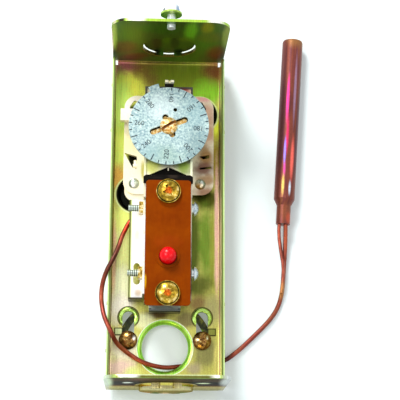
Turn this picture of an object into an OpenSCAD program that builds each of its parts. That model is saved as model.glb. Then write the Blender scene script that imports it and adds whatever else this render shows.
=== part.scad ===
// Manual-reset high limit control with a remote bulb, cover off, lying on its back.
// Millimetres. The origin is the centre of the spud hole in the back's inner face.
// X runs across the case, Y towards the cover screw, Z out of the back.

/* [Case back] */
// Width over the side walls
case_w = 50; // [47:0.5:58]
// Length over the end flanges
case_l = 149.3; // [140:0.1:165]
// Distance from the spud hole to the bottom flange's outer face
spud_from_end = 18.2; // [15.5:0.1:20]
// Height of the end flanges above the back
flange_h = 50; // [47:0.5:60]
// Height of the side walls above the back
wall_h = 11; // [8:0.25:11.25]
// Thickness of the case sheet
case_sheet = 1.2; // [0.8:0.1:1.5]
// Inner radius of the case's folds
fold_r = 0.8; // [0.4:0.1:1.2]
// Radius of the end flanges' front corners
flange_corner_r = 8; // [4:0.5:14]
// Length of the relief notch at each end of a fold
notch = 0.7; // [0.5:0.1:3]

/* [Holes in the back] */
// Diameter of the spud hole
spud_d = 20.1; // [16:0.1:22]
// How far the spud hole's collar reaches behind the back
spud_collar = 1.0; // [0.9:0.05:1.3]
// Inner radius of the roll at the drawn holes
roll_r = 0.85; // [0.5:0.05:1]
// Diameter of the two drawn foot holes
foot_d = 12.6; // [10:0.1:13]
// How far the feet stand out behind the back
foot_drop = 3.4; // [3:0.1:4.5]
// Diameter of the screw hole in a foot
foot_screw_d = 4.4; // [3:0.1:6]
// Foot hole on the left, distance from the centre line
foot_left_x = 14.1; // [13:0.1:15]
// Foot hole on the left, distance up the back
foot_left_y = 67.9; // [64:0.1:69]
// Foot hole on the right, distance from the centre line
foot_right_x = 14.3; // [13:0.1:15]
// Foot hole on the right, distance up the back
foot_right_y = 105.2; // [104.5:0.1:108]
// Width of the clamp slots
slot_w = 5.1; // [4.8:0.1:6.5]
// Distance of the clamp slots from the centre line
slot_x = 16; // [15.5:0.1:17]
// Length of the clamp slots between the centres of their ends
slot_run = 11.4; // [9:0.1:13]
// Width of the coined rim round a slot's upper end
slot_rim = 1.8; // [1:0.1:2]

/* [Knockouts] */
// Diameter of a knockout
knockout_d = 22.2; // [18:0.1:26]
// Height of a knockout's centre above the back
knockout_z = 20; // [18:0.5:24]
// How far the bottom flange leans in over the case, in degrees
low_lean = 2.6; // [0:0.1:4]
// Width of the slit round a knockout
knockout_slit = 0.5; // [0.3:0.05:0.8]
// How far the lower knockout is pushed out of its flange
knockout_lift = 2.2; // [1.5:0.1:3]
// How far the upper knockout is pushed out of its flange
knockout_lift_top = 1.5; // [1.4:0.1:3]
// Width of a knockout's ties
tie_w = 3.4; // [2:0.1:5]

/* [Cover screw] */
// Diameter of the cover screw's thread
cover_screw_d = 3.5; // [3:0.1:5]
// Length of the cover screw below its head
cover_screw_l = 6.8; // [6:0.1:12]
// Width across flats of the cover screw's head
cover_head_w = 6; // [5.5:0.1:8]
// Height of the cover screw's head
cover_head_h = 3.2; // [2.5:0.1:5]
// Diameter of the washer under the head
cover_washer_d = 9; // [7:0.1:10]
// Distance of the cover screw from the top flange's front edge
cover_screw_in = 3.8; // [3.5:0.1:5]
// How far the washer stands off the flange
cover_screw_out = 4; // [2:0.1:6]

/* [Retainer clamp] */
// Mean radius of the clamp's arch
clamp_r = 19.2; // [18.8:0.1:20]
// Width of the clamp's strip
clamp_w = 3; // [2:0.1:3.6]
// Thickness of the clamp's strip
clamp_t = 1.6; // [1:0.1:2]
// How far up the back the clamp screws sit at rest
clamp_y = 3; // [2:0.1:3.4]
// Diameter of the clamp screws' heads
clamp_head_d = 8; // [7.4:0.1:8.6]
// Height of the clamp screws' heads
clamp_head_h = 2.5; // [1.6:0.1:2.8]
// Diameter of the clamp screws' thread
clamp_screw_d = 3.9; // [3:0.1:4.4]

/* [Mechanism frame] */
// Thickness of the frame's sheet
frame_sheet = 0.9; // [0.7:0.05:1.2]
// Width between the frame's walls
channel_w = 18.9; // [18.3:0.1:19.6]
// Height of the frame's top plate above the back
frame_top_z = 23; // [22.4:0.1:24]
// Upper end of the frame's top plate
frame_end_y = 110.7; // [109.9:0.1:111.2]
// Lower end of the frame's walls
wall_end_y = 61.5; // [60.5:0.1:63]
// Width over the two ears
ear_w = 39.8; // [36:0.2:40.6]
// Lower edge of the ears
ear_low_y = 66.3; // [65.5:0.1:67]
// Upper edge of the ears
ear_high_y = 111.5; // [111:0.1:114]
// How far the ears and the base plate stand to the right of the centre line
ear_shift = 0.55; // [0:0.05:0.7]
// Radius of the ears' corners
ear_corner_r = 5.5; // [2:0.1:7]
// Distance of the ear rivets from the centre line
rivet_x = 14.6; // [13.6:0.1:15.6]
// Distance of the ear rivets up the back
rivet_y = 71.2; // [70.5:0.1:72.5]
// Diameter of the rivet heads
rivet_head_d = 4.8; // [4:0.1:6]
// Width of the index tab
index_w = 3.8; // [3:0.1:5]
// Height of the index tab above the back
index_z = 29.3; // [28:0.1:31]

/* [Base plate] */
// Height of the base plate's upper face above the back
base_z = 6.2; // [6:0.1:7]
// Thickness of the base plate
base_sheet = 1.2; // [0.8:0.1:1.3]
// Width of the base plate
base_w = 38.6; // [36:0.2:39.6]

/* [Dial] */
// Diameter of the dial
dial_d = 34.4; // [33:0.1:34.6]
// Thickness of the dial
dial_t = 1; // [0.6:0.1:1.3]
// Distance of the dial's centre up the back
dial_y = 92.2; // [92:0.1:92.5]
// Height of the dial's face above the back
dial_z = 26; // [25.6:0.1:27]
// How far the stop lug stands out of the rim
lug_out = 2.1; // [1.2:0.1:2.6]
// Angle of the cross-shaped cut-out
cross_turn = 22; // [0:1:45]
// Length of the cross's long slot
cross_long = 17.4; // [12:0.1:20]
// Length of the cross's short slot
cross_short = 10.8; // [8:0.1:12]
// Width of the cross's slots
cross_w = 2.7; // [2:0.1:3.4]
// Diameter of the domed head
dome_d = 7.6; // [6:0.1:9]

/* [Element and lever] */
// Diameter of the power element
element_d = 17; // [12:0.1:17.6]
// Height of the power element's capsule
element_h = 3.2; // [2.5:0.1:3.6]
// Diameter of the adjusting screw
adjust_d = 4; // [3:0.1:5]
// Height of the lever's underside above the back
lever_z = 11.5; // [11.2:0.1:12]
// Thickness of the lever
lever_t = 0.9; // [0.7:0.1:1.1]
// Distance of the lever's pin up the back
pin_y = 107; // [106:0.1:107.8]
// Diameter of the lever's pin
pin_d = 2; // [1.6:0.1:2.4]
// Wire of the range spring
spring_wire = 1.1; // [0.8:0.1:1.3]
// Outer diameter of the range spring
spring_d = 9; // [8:0.1:11]
// Diameter of the capillary
capillary_d = 2; // [1.6:0.1:2.1]

/* [Switch] */
// Lower end of the switch card
card_low_y = 14.5; // [14:0.1:15]
// Upper end of the switch card
card_high_y = 67.2; // [66.5:0.1:68]
// Width of the switch card
card_w = 18.9; // [18.4:0.1:20]
// Thickness of the switch card
card_t = 1.6; // [1.2:0.1:2.2]
// Height of the card's underside above the back
card_z = 28.4; // [28:0.1:29.5]
// Underside of the switch housing above the back
housing_z = 7.6; // [7.2:0.1:8.5]
// Distance of the reset button up the back
button_y = 35; // [33:0.1:36]
// Diameter of the reset button
button_d = 6.9; // [6:0.1:7.6]
// How far the reset button stands out of the card
button_out = 4.6; // [3.5:0.1:6]
// Travel of the reset button
button_travel = 2; // [1:0.1:2.5]
// Lower terminal screw, distance up the back
terminal_low_y = 19.5; // [18.8:0.1:20]
// Upper terminal screw, distance up the back
terminal_high_y = 62.3; // [60.8:0.1:62.6]
// Diameter of the terminal screws' heads
terminal_head_d = 8.9; // [7.5:0.1:9.2]
// Diameter of the terminal cups
terminal_cup_d = 10.3; // [9.6:0.1:11]

/* [Through screws] */
// Lower through screw, distance up the back
through_low_y = 29.9; // [29.3:0.1:30.2]
// Upper through screw, distance up the back
through_high_y = 58; // [56.8:0.1:58.4]
// Height of the through screws above the back
through_z = 16; // [15:0.1:17]
// Diameter of the through screws' thread
through_d = 2.8; // [2.4:0.1:3.2]
// Width of the square nuts
nut_w = 4.9; // [4.5:0.1:5.6]
// Thickness of the square nuts
nut_t = 1.8; // [1.4:0.1:2.4]
// Width of the side bracket's flange
side_flange_w = 5.9; // [5:0.1:6.5]

/* [Bulb] */
// Diameter of the bulb
bulb_d = 9.3; // [8:0.1:10]
// Length of the bulb without its neck
bulb_l = 75.4; // [65:0.1:85]
// Diameter of the bulb's neck
neck_d = 6.3; // [5:0.1:7.5]
// Length of the bulb's neck with its shoulder
neck_l = 11.4; // [9:0.1:14]

/* [Hidden] */
$fn = 48;

// Places of the case, worked out from its sizes.
half_w = case_w / 2;
y_low = -spud_from_end;
y_high = y_low + case_l;
fold_out = fold_r + case_sheet;
fold_half = half_w - fold_out - 0.1;
table_z = -case_sheet - foot_drop;
cover_screw_z = flange_h - cover_screw_in;
roll_out = roll_r + case_sheet;
stop_x = slot_x + 4.2;
stop_h = 0.6;
stop_low_y = 5.5;
stop_high_y = 8.1;
slot_low_y = clamp_y - 1.4;
slot_top_y = slot_low_y + slot_run;
bead_h = 0.5;

// A gap between parts that only lie against each other while one of them moves.
slide_gap = 0.05;
// Clearance all round a screw in its hole.
screw_fit = 0.1;
// Small step that keeps two cuts from ending in one face.
eps = 0.01;

// Places of the mechanism.
channel_half = channel_w / 2;
frame_half = channel_half + frame_sheet;
ear_z = base_z;
ear_top_z = ear_z + frame_sheet;
plate_drop = 1;
plate_top_z = frame_top_z - plate_drop;
frame_under_z = plate_top_z - frame_sheet;
gable_y = 75.1;
gable_side_y = 70.4;
arm_low_y = card_low_y + 3.4;
arm_top_z = 20;
side_low_y = 19.8;
side_high_y = 63.3;
side_slot_l = 9.4;
side_slot_w = 2.9;
arm_low_z = housing_z + 0.4;

// Places of the dial and of what turns with it.
dial_low_z = dial_z - dial_t;
dial_r = dial_d / 2;
lug_from = 104;
lug_to = 118;
cross_fit = 0.42;
plate_reach = 12.4;
plate_corner = 4.5;
clip_grip = 3;
hub_t = 2;
hub_arm_t = 1.1;
hub_z = dial_low_z - hub_t;
dome_h = 2.2;
dome_slot_w = 1.1;
dome_slot_turn = 31;
collar_h = hub_z - plate_top_z - slide_gap;

// Places of the lever and the spring.
lever_top_z = lever_z + lever_t;
lever_half = 7;
lever_low_y = 71.5;
lever_arm_low_y = dial_y + 6.2;
lever_arm_high_y = lever_arm_low_y + 5.4;
lever_arm_x = 21;
knuckle_r = pin_d / 2 + lever_t;
pin_z = lever_top_z - knuckle_r;
pin_fit = 0.05;
cap_z = 18.2;
cap_t = 1.4;
element_top_z = base_z + element_h;
socket_r = 3;
socket_low_z = 1.2;
nut_h = 1.2;
stub_r = 0.8;

// Places in the switch.
card_top_z = card_z + card_t;
housing_low_y = card_low_y + 2.2;
housing_foot_y = housing_low_y + 0.9;
housing_step_z = 20;
clip_left = -7.3;
clip_right = 6.3;
clip_low_y = 14.7;
housing_high_y = card_high_y + 1.2;
nose_high_y = gable_y + 0.3;
nose_low_z = 14.8;
nose_top_z = frame_under_z - 0.5;
wing_half = frame_half + 0.2;
button_fit = 0.3;
button_flange_r = button_d / 2 + 0.8;
button_flange_t = 1.3;
pocket_z = 17.5;
stem_r = 1.5;
reset_wire = 0.6;
cup_t = 1;
terminal_shank_r = 1.9;
terminal_head_h = 2.2;
terminal_reach = 6;
terminals_y = [terminal_low_y, terminal_high_y];
throughs_y = [through_low_y, through_high_y];
head_gap = 1.2;
through_head_r = 3.2;
through_head_h = 2;
through_tail = 4.6;

// Route of the capillary, from the element's socket to the bulb's neck.
cap_low = table_z + capillary_d / 2;
route = [
  [0, dial_y - socket_r + 1, 2.6], [0, 84, 2.6], [-0.5, 78.5, 2.7], [-2, 73, 2.9], [-5, 67.5, 3.1],
  [-9, 62.5, 3.5], [-13, 58, 4.1], [-16.3, 54, 5], [-18, 50.5, 6.2], [-19.4, 47, 7.8],
  [-20.7, 42.5, 9.8], [-22.1, 38.5, 11.6], [-23.7, 35, 12.5], [-25.2, 32, 12.4],
  [-26.4, 29, 11.3], [-27.2, 26, 10.2], [-27.6, 22.8, 9.4], [-27.6, 19.5, 9.2],
  [-27.1, 16, 10], [-26.3, 12.5, 11.4], [-24.9, 9, 12.4], [-23.2, 5.6, 12.2],
  [-21.8, 2.7, 9.8], [-19.8, 0.2, 6.6], [-17.2, -1.8, 3.8], [-14.2, -3.8, 2], [-10.7, -5.8, 1.3],
  [-6.8, -7.3, 1], [-3.2, -8.1, 0.2], [0.2, -8.4, -1.1], [3.2, -8.2, -2.4],
  [6, -7.8, cap_low], [10, -7.5, cap_low], [15, -7.2, cap_low], [20.5, -6.6, cap_low],
  [26, -5, cap_low], [31, -1.6, cap_low], [35.6, 2.4, cap_low], [40, 6.6, cap_low],
  [44, 10.6, cap_low], [47.2, 14.4, cap_low], [49.7, 18.6, cap_low], [51.2, 23.2, cap_low],
  [52, 28, cap_low], [52.4, 33, -3.3], [52.7, 38, -2.7], [53, 43.5, -1.9], [53.2, 49.5, -1.1],
  [53.2, 56.2, -0.2]
];
stub_route = [
  [50.4, 56.2, 0.1], [50.2, 52.5, -0.4], [50.4, 48.5, -0.8], [50.9, 44.5, -0.9], [51.4, 41, -0.9],
  [51.9, 38, -0.9], [52.1, 35.2, -1.2], [52, 31.6, -1.6], [51.7, 28, -1.75], [51.15, 24.6, -1.75]
];
neck_x = 51.95;
neck_y = 55.2;
bulb_turn = -3.8;
bulb_z = table_z + bulb_d / 2;
bulb_edge_r = 1;

// Moves a flat outline drawn in X and Z to the stretch between two places along Y.
module along_y(from, to) {
  translate([0, to, 0]) rotate([90, 0, 0]) linear_extrude(height = to - from) children();
}

// A rod along X between two places.
module rod_x(from, to, r) {
  translate([from, 0, 0]) rotate([0, 90, 0]) cylinder(h = to - from, r = r);
}

// A rod along Y between two places.
module rod_y(from, to, r) {
  translate([0, to, 0]) rotate([90, 0, 0]) cylinder(h = to - from, r = r);
}

// A box from its lowest to its highest corner.
module span(low, high) {
  translate(low) cube(high - low);
}

// A flat rectangle with the same radius at all four corners.
module rounded(low, high, r) {
  translate([low[0] + r, low[1]]) square([high[0] - low[0] - 2 * r, high[1] - low[1]]);
  translate([low[0], low[1] + r]) square([high[0] - low[0], high[1] - low[1] - 2 * r]);
  for (x = [low[0] + r, high[0] - r])
    for (y = [low[1] + r, high[1] - r])
      translate([x, y]) circle(r = r);
}

// A flat slot with round ends, centred, along X.
module oblong(length, width) {
  square([length - width, width], center = true);
  for (s = [-1, 1]) translate([s * (length - width) / 2, 0]) circle(d = width);
}

// Unit vector.
function unit(v) = v / norm(v);
// Direction of a route at one of its points.
function heading(p, i) = unit(p[min(i + 1, len(p) - 1)] - p[max(i - 1, 0)]);
// Ring of points round a route at one of its points.
function ring(p, i, r, sides) =
  let (t = heading(p, i), s = unit(cross([0, 0, 1], t)), u = cross(t, s))
  [for (k = [0:sides - 1]) p[i] + r * (cos(360 * k / sides) * s + sin(360 * k / sides) * u)];

// A round tube swept along a route.
module tube(p, r, sides = 8) {
  n = len(p);
  points = [for (i = [0:n - 1]) each ring(p, i, r, sides)];
  walls = [for (i = [0:n - 2]) for (k = [0:sides - 1])
    [i * sides + k, i * sides + (k + 1) % sides, (i + 1) * sides + (k + 1) % sides, (i + 1) * sides + k]];
  start = [for (k = [sides - 1:-1:0]) k];
  end = [for (k = [0:sides - 1]) (n - 1) * sides + k];
  polyhedron(points = points, faces = concat([start], walls, [end]));
}

// Height along a spring whose first and last turns lie close.
function coil_z(i, steps, wire, rise) =
  let (close = 1.12 * wire)
  i <= 10 ? close * i / 10
  : i >= steps - 10 ? rise - close * (steps - i) / 10
  : close + (rise - 2 * close) * (i - 10) / (steps - 20);

// A compression spring between two heights.
module coil_spring(r, wire, from, to, steps, sides = 6) {
  rise = to - from - wire;
  p = [for (i = [0:steps]) [r * cos(36 * i), r * sin(36 * i), from + wire / 2 + coil_z(i, steps, wire, rise)]];
  tube(p, wire / 2, sides);
}

// Cross-section of the case across its length.
module case_section() {
  c = half_w - fold_out;
  translate([-c, -case_sheet]) square([2 * c, case_sheet]);
  for (s = [-1, 1]) {
    translate([s > 0 ? half_w - case_sheet : -half_w, fold_r])
      square([case_sheet, wall_h - fold_r]);
    translate([s * c, fold_r]) intersection() {
      difference() {
        circle(r = fold_out);
        circle(r = fold_r);
      }
      translate([s > 0 ? 0 : -fold_out, -fold_out]) square([fold_out, fold_out]);
    }
  }
}

// Outline of an end flange, seen along the case.
module flange_outline() {
  r = flange_corner_r;
  low = fold_r + notch;
  translate([-fold_half, fold_r]) square([2 * fold_half, notch + eps]);
  translate([-half_w, low]) square([case_w, flange_h - r - low]);
  translate([-half_w + r, low]) square([case_w - 2 * r, flange_h - low]);
  for (s = [-1, 1]) translate([s * (half_w - r), flange_h - r]) circle(r = r);
}

// Quarter fold between the back and a flange, on the side of the given end.
module end_fold(end) {
  translate([0, end > 0 ? y_high - fold_out : y_low + fold_out, fold_r])
    intersection() {
      difference() {
        rod_x(-fold_half, fold_half, fold_out);
        rod_x(-fold_half - 1, fold_half + 1, fold_r);
      }
      translate([-fold_half, end > 0 ? 0 : -fold_out, -fold_out])
        cube([2 * fold_half, fold_out, fold_out + (end > 0 ? 0 : 0.2)]);
    }
}

// Turns what belongs to the bottom flange about its fold, so that the flange leans in over the case.
module leaning() {
  translate([0, y_low + fold_out, fold_r]) rotate([-low_lean, 0, 0])
    translate([0, -y_low - fold_out, -fold_r]) children();
}

// A knockout pushed outwards and held by four ties.
module knockout(end) {
  face = end > 0 ? y_high : y_low;
  r = knockout_d / 2;
  lift = end > 0 ? knockout_lift_top : knockout_lift;
  out = lift - case_sheet;
  translate([0, face, knockout_z]) {
    rod_y(end > 0 ? out : -lift, end > 0 ? lift : -out, r);
    for (a = [68, 112, 248, 292])
      rotate([0, a, 0])
        translate([r - 0.6, end > 0 ? -case_sheet : -lift, -tie_w / 2])
          cube([knockout_slit + 1.2, lift + case_sheet, tie_w]);
  }
}

// Drawn rim: the sheet rolls down into a collar round a hole.
module drawn_rim(r, drop) {
  c = r + roll_out;
  rotate_extrude() {
    translate([c, -roll_out]) intersection() {
      difference() {
        circle(r = roll_out);
        circle(r = roll_r);
      }
      translate([-roll_out, 0]) square([roll_out, roll_out]);
    }
    translate([r, -case_sheet - drop]) square([case_sheet, drop - roll_r + eps]);
  }
}

// Drawn foot: a rim whose bottom is closed but for a screw hole.
module foot() {
  drawn_rim(foot_d / 2, foot_drop);
  translate([0, 0, table_z]) difference() {
    cylinder(h = case_sheet, r = foot_d / 2 + 0.2);
    translate([0, 0, -1]) cylinder(h = case_sheet + 2, d = foot_screw_d);
  }
}

// Folded sheet of the case, with its knockouts, drawn holes, slots, stops and pips.
module case_back() {
  color("#b7b24a") {
    difference() {
      union() {
        along_y(y_low + fold_out + notch, y_high - fold_out - notch) case_section();
        span([-fold_half, y_low + fold_out, -case_sheet], [fold_half, y_high - fold_out, 0]);
        for (s = [-1, 1]) translate([s * slot_x, 0, 0]) slot_bead();
        for (end = [-1, 1]) end_fold(end);
        along_y(y_high - case_sheet, y_high) flange_outline();
        leaning() along_y(y_low, y_low + case_sheet) flange_outline();
      }
      translate([0, 0, -case_sheet - 1]) {
        cylinder(h = case_sheet + 2, r = spud_d / 2 + roll_out);
        translate([-foot_left_x, foot_left_y, 0]) cylinder(h = case_sheet + 2, r = foot_d / 2 + roll_out);
        translate([foot_right_x, foot_right_y, 0]) cylinder(h = case_sheet + 2, r = foot_d / 2 + roll_out);
      }
      for (s = [-1, 1]) translate([s * slot_x, 0, 0]) clamp_slot();
      leaning() translate([0, y_low, knockout_z]) rod_y(-3, 3, knockout_d / 2 + knockout_slit);
      translate([0, y_high, knockout_z]) rod_y(-3, 3, knockout_d / 2 + knockout_slit);
      translate([0, y_high, cover_screw_z]) rod_y(-3, 3, cover_screw_d / 2 + screw_fit);
    }
    drawn_rim(spud_d / 2, spud_collar);
    translate([-foot_left_x, foot_left_y, 0]) foot();
    translate([foot_right_x, foot_right_y, 0]) foot();
    leaning() knockout(-1);
    knockout(1);
    for (s = [-1, 1]) {
      for (y = [-2.2, 18, 95, 116])
        translate([0, y, wall_h - 3]) rod_x(s > 0 ? half_w - 0.3 : -half_w - 0.35, s > 0 ? half_w + 0.35 : -half_w + 0.3, 0.8);
      span([s * stop_x - 1.6, stop_low_y, -0.4], [s * stop_x + 1.6, stop_high_y, stop_h]);
    }
  }
}

// Outline of a clamp slot, right through the back.
module clamp_slot() {
  translate([0, slot_low_y + slot_run / 2, -case_sheet - 1])
    rotate([0, 0, 90]) linear_extrude(height = case_sheet + 3) oblong(slot_run + slot_w, slot_w);
}

// Raised bead round a clamp slot's upper end.
module slot_bead() {
  mid = slot_w / 2 + slot_rim / 2;
  translate([0, slot_top_y, 0]) rotate_extrude() translate([mid, 0]) intersection() {
    scale([1, 2 * bead_h / slot_rim]) circle(d = slot_rim, $fn = 16);
    translate([-slot_rim, -0.3]) square([2 * slot_rim, 0.3 + bead_h]);
  }
}

// Hexagon-head screw with a driver slot, standing loose in the top flange.
module cover_screw() {
  seat = y_high + cover_screw_out;
  color("#d5dbe0") translate([0, 0, cover_screw_z]) {
    difference() {
      union() {
        rod_y(seat - cover_screw_l, seat + 1, cover_screw_d / 2);
        translate([0, seat + cover_head_h, 0]) rotate([90, 0, 0])
          cylinder(h = cover_head_h, d = cover_head_w / cos(30), $fn = 6);
      }
      span([-cover_head_w, seat + cover_head_h - 1.2, -0.5], [cover_head_w, seat + cover_head_h + 1, 0.5]);
    }
  }
}

// Washer held by the cover screw's head.
module cover_screw_washer() {
  seat = y_high + cover_screw_out;
  color("#a9b04a") translate([0, 0, cover_screw_z]) difference() {
    rod_y(seat - 0.8, seat, cover_washer_d / 2);
    rod_y(seat - 2, seat + 1, cover_screw_d / 2 + screw_fit);
  }
}

// Sheet arch behind the back, with a threaded boss at each end.
module retainer_clamp() {
  top = -case_sheet - slide_gap;
  color("#6d5a34") difference() {
    union() {
      translate([0, 0, top - clamp_t]) linear_extrude(height = clamp_t) {
        difference() {
          circle(r = clamp_r + clamp_w / 2);
          circle(r = clamp_r - clamp_w / 2);
          translate([-40, -80 + clamp_y]) square(80);
        }
        for (s = [-1, 1]) translate([s * slot_x, clamp_y]) circle(r = 4.3);
      }
      for (s = [-1, 1]) translate([s * slot_x, clamp_y, table_z])
        cylinder(h = foot_drop - slide_gap - 0.2, r = 3.2);
    }
    for (s = [-1, 1]) translate([s * slot_x, clamp_y, table_z - 1])
      cylinder(h = foot_drop + 2, r = clamp_screw_d / 2 + slide_gap);
  }
}

// Two pan-head screws that draw the clamp against the back, left a little loose.
module clamp_screws() {
  seat = stop_h + 0.15;
  color("#8a5a20") for (s = [-1, 1]) translate([s * slot_x, clamp_y, seat])
    rotate([0, 0, 20 * s]) pan_screw(clamp_head_d, clamp_head_h, clamp_screw_d / 2, seat - table_z - 0.3, 0.6);
}

// Domed screw with a cross recess and, where it has a depth, a driver slot; its head stands on Z = 0.
module pan_screw(head_d, head_h, shank_r, length, slot_depth) {
  edge = head_h * 0.35;
  difference() {
    union() {
      cylinder(h = edge, d = head_d);
      translate([0, 0, edge - eps]) dome(head_d, head_h - edge + eps);
      translate([0, 0, -length]) cylinder(h = length + eps, r = shank_r);
    }
    for (a = [0, 90])
      rotate([0, 0, a]) translate([-head_d * 0.28, -head_d * 0.065, head_h * 0.42])
        cube([head_d * 0.56, head_d * 0.13, head_h]);
    translate([0, 0, head_h * 0.32]) cylinder(h = head_h, r1 = head_d * 0.06, r2 = head_d * 0.2, $fn = 16);
    translate([-head_d, -0.4, head_h - slot_depth]) cube([2 * head_d, 0.8, 1]);
  }
}

// Windows lanced through the ears and the base plate.
module ear_windows() {
  polygon([[-19.05, 85], [-13.5, 83.4], [-13.6, 77.7], [-15.4, 78.3]]);
  polygon([[14, 83.9], [18.5, 84.7], [18.5, 83.2], [15.8, 82.6]]);
  polygon([[14.2, 78.8], [19.4, 79.4], [19.6, 78.4], [14.4, 77.9]]);
}

// Outline of the frame's two ears with their slots.
module ear_outline() {
  difference() {
    rounded([-ear_w / 2 + ear_shift, ear_low_y], [ear_w / 2 + ear_shift, ear_high_y], ear_corner_r);
    translate([-channel_half, ear_low_y - 1]) square([channel_w, ear_high_y - ear_low_y + 2]);
    ear_windows();
    for (s = [-1, 1]) {
      translate([s * 15.4, 107.1]) rotate([0, 0, s * -58]) oblong(4.6, 1.9);
      translate([s * rivet_x, rivet_y]) circle(r = 1.5);
    }
  }
}

// Outline of the frame's top plate with its gabled lower end.
module frame_top_outline() {
  polygon([
    [-frame_half, gable_side_y], [0, gable_y], [frame_half, gable_side_y],
    [frame_half, frame_end_y], [-frame_half, frame_end_y]
  ]);
}

// Hat-section frame: top plate, walls, out-turned ears, switch arm and index tab.
module mechanism_frame() {
  color("#e8dcae") difference() {
    union() {
      translate([0, 0, ear_z]) linear_extrude(height = frame_sheet) ear_outline();
      translate([0, 0, frame_under_z]) linear_extrude(height = frame_sheet) frame_top_outline();
      for (s = [-1, 1])
        span([s > 0 ? channel_half : -frame_half, wall_end_y, ear_z],
          [s > 0 ? frame_half : -channel_half, frame_end_y, frame_top_z]);
      span([-frame_half, frame_end_y - frame_sheet, frame_under_z], [frame_half, frame_end_y, frame_top_z]);
      span([-0.25, gable_y - 1.7, frame_under_z], [0.25, gable_y + 0.5, plate_top_z]);
      span([channel_half, arm_low_y, arm_low_z], [frame_half, wall_end_y + eps, arm_top_z]);
      along_y(frame_end_y - eps, frame_end_y + frame_sheet) index_outline();
    }
    translate([0, dial_y, frame_under_z - 1]) cylinder(h = frame_sheet + 2, r = adjust_d / 2 + pin_fit);
    span([-frame_half - 1, lever_arm_low_y - 1, lever_z - 1.5], [-channel_half + 1, lever_arm_high_y + 1, lever_top_z + 1.8]);
    translate([0, pin_y, pin_z]) rod_x(-frame_half - 1, frame_half + 1, pin_d / 2 + pin_fit);
    for (y = throughs_y) translate([0, y, through_z])
      rod_x(0, frame_half + 1, through_d / 2 + screw_fit);
    span([-frame_half - 1, ear_low_y - 20, ear_z - 1], [frame_half + 1, ear_low_y, ear_z + 2.2]);
  }
}

// Upturned index tab with its V notch, seen along the case.
module index_outline() {
  difference() {
    translate([-index_w / 2, frame_under_z]) square([index_w, index_z - frame_under_z]);
    translate([0, index_z - 1.3]) polygon([[0, 0], [1.2, 2], [-1.2, 2]]);
  }
}

// Raised plate under the ears, with two folded feet and a lug that stands in the left window.
module base_plate() {
  under = base_z - base_sheet;
  color("#c9c070") difference() {
    union() {
      translate([0, 0, under]) linear_extrude(height = base_sheet) difference() {
        union() {
          rounded([-base_w / 2 + ear_shift, ear_low_y - 3], [0, dial_y + plate_reach], plate_corner);
          rounded([-channel_half, ear_low_y + 0.8], [base_w / 2 + ear_shift, dial_y + plate_reach], plate_corner);
        }
        ear_windows();
      }
      for (s = [-1, 1]) {
        span([s * 15 - 3.6, dial_y - 3.4, 0], [s * 15 + 3.6, dial_y - 2.2, under + eps]);
        span([s * 15 - 3.6, dial_y - 3.4, 0], [s * 15 + 3.6, dial_y + 2.6, base_sheet]);
      }
      translate([-14.2, 79.4, under + 0.3]) lug();
    }
    translate([0, dial_y, under - 1]) cylinder(h = base_sheet + 2, r = socket_r + screw_fit);
    for (s = [-1, 1]) translate([s * rivet_x, rivet_y, under - 1])
      cylinder(h = base_sheet + 2, r = 1.5);
  }
}

// Curved lug that stands up in the left window.
module lug() {
  rod_x(-1, 1.4, 1);
  translate([0, 0, -0.3]) rod_y(-1, 2.6, 0.8);
}

// Two dome-head rivets that hold the ears to the base plate.
module ear_rivets() {
  color("#c8ccc8") for (s = [-1, 1]) translate([s * rivet_x, rivet_y, ear_top_z]) {
    dome(rivet_head_d, 1.5);
    translate([0, 0, -frame_sheet - base_sheet - 0.5])
      cylinder(h = frame_sheet + base_sheet + 0.5 + eps, r = 1.45);
    translate([0, 0, -frame_sheet - base_sheet - 1.1]) cylinder(h = 1.1, r = 2.1);
  }
}

// Cap of a sphere with the given diameter and height, standing on Z = 0.
module dome(d, h) {
  r = (d * d / 4 + h * h) / (2 * h);
  intersection() {
    translate([0, 0, h - r]) sphere(r = r);
    cylinder(h = h + 1, d = d + 1);
  }
}

// Capsule with its pusher above and the capillary's socket below.
module power_element() {
  color("#b08d57") translate([0, dial_y, 0]) {
    translate([0, 0, base_z]) cylinder(h = element_h * 0.45, d = element_d);
    translate([0, 0, base_z + element_h * 0.45 - eps])
      cylinder(h = element_h * 0.55 + eps, d1 = element_d, d2 = element_d * 0.7);
    translate([0, 0, element_top_z - eps]) cylinder(h = lever_z - element_top_z - slide_gap + eps, r = 2.2);
    translate([0, 0, socket_low_z]) cylinder(h = base_z - socket_low_z + eps, r = socket_r);
  }
}

// Ring nut that holds the element under the base plate.
module element_nut() {
  color("#9a8a4a") translate([0, dial_y, base_z - base_sheet - nut_h]) difference() {
    cylinder(h = nut_h, d = 9.6, $fn = 6);
    translate([0, 0, -1]) cylinder(h = nut_h + 2, r = socket_r + screw_fit);
  }
}

// Pivoted lever with a rolled knuckle and a side arm that ends in a folded tab.
module operating_lever() {
  color("#efe6c4") difference() {
    union() {
      span([-lever_half, lever_low_y, lever_z], [lever_half, pin_y, lever_top_z]);
      translate([0, pin_y, pin_z]) rod_x(-lever_half, lever_half, knuckle_r);
      span([-lever_arm_x, lever_arm_low_y, lever_z], [-lever_half + 1, lever_arm_high_y, lever_top_z]);
      span([-lever_arm_x, lever_arm_low_y, lever_z - 2.6], [-lever_arm_x + lever_t, lever_arm_high_y, lever_top_z]);
      span([-lever_arm_x, lever_arm_low_y, lever_z - 2.6], [-lever_arm_x + 5.6, lever_arm_low_y + lever_t, lever_top_z]);
    }
    translate([0, pin_y, pin_z]) rod_x(-lever_half - 1, lever_half + 1, pin_d / 2 + pin_fit);
  }
}

// Pin across the frame's walls that the lever turns on.
module lever_pin() {
  color("#c0c4c8") translate([0, pin_y, pin_z]) rod_x(-frame_half - 0.6, frame_half + 0.6, pin_d / 2);
}

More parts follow.
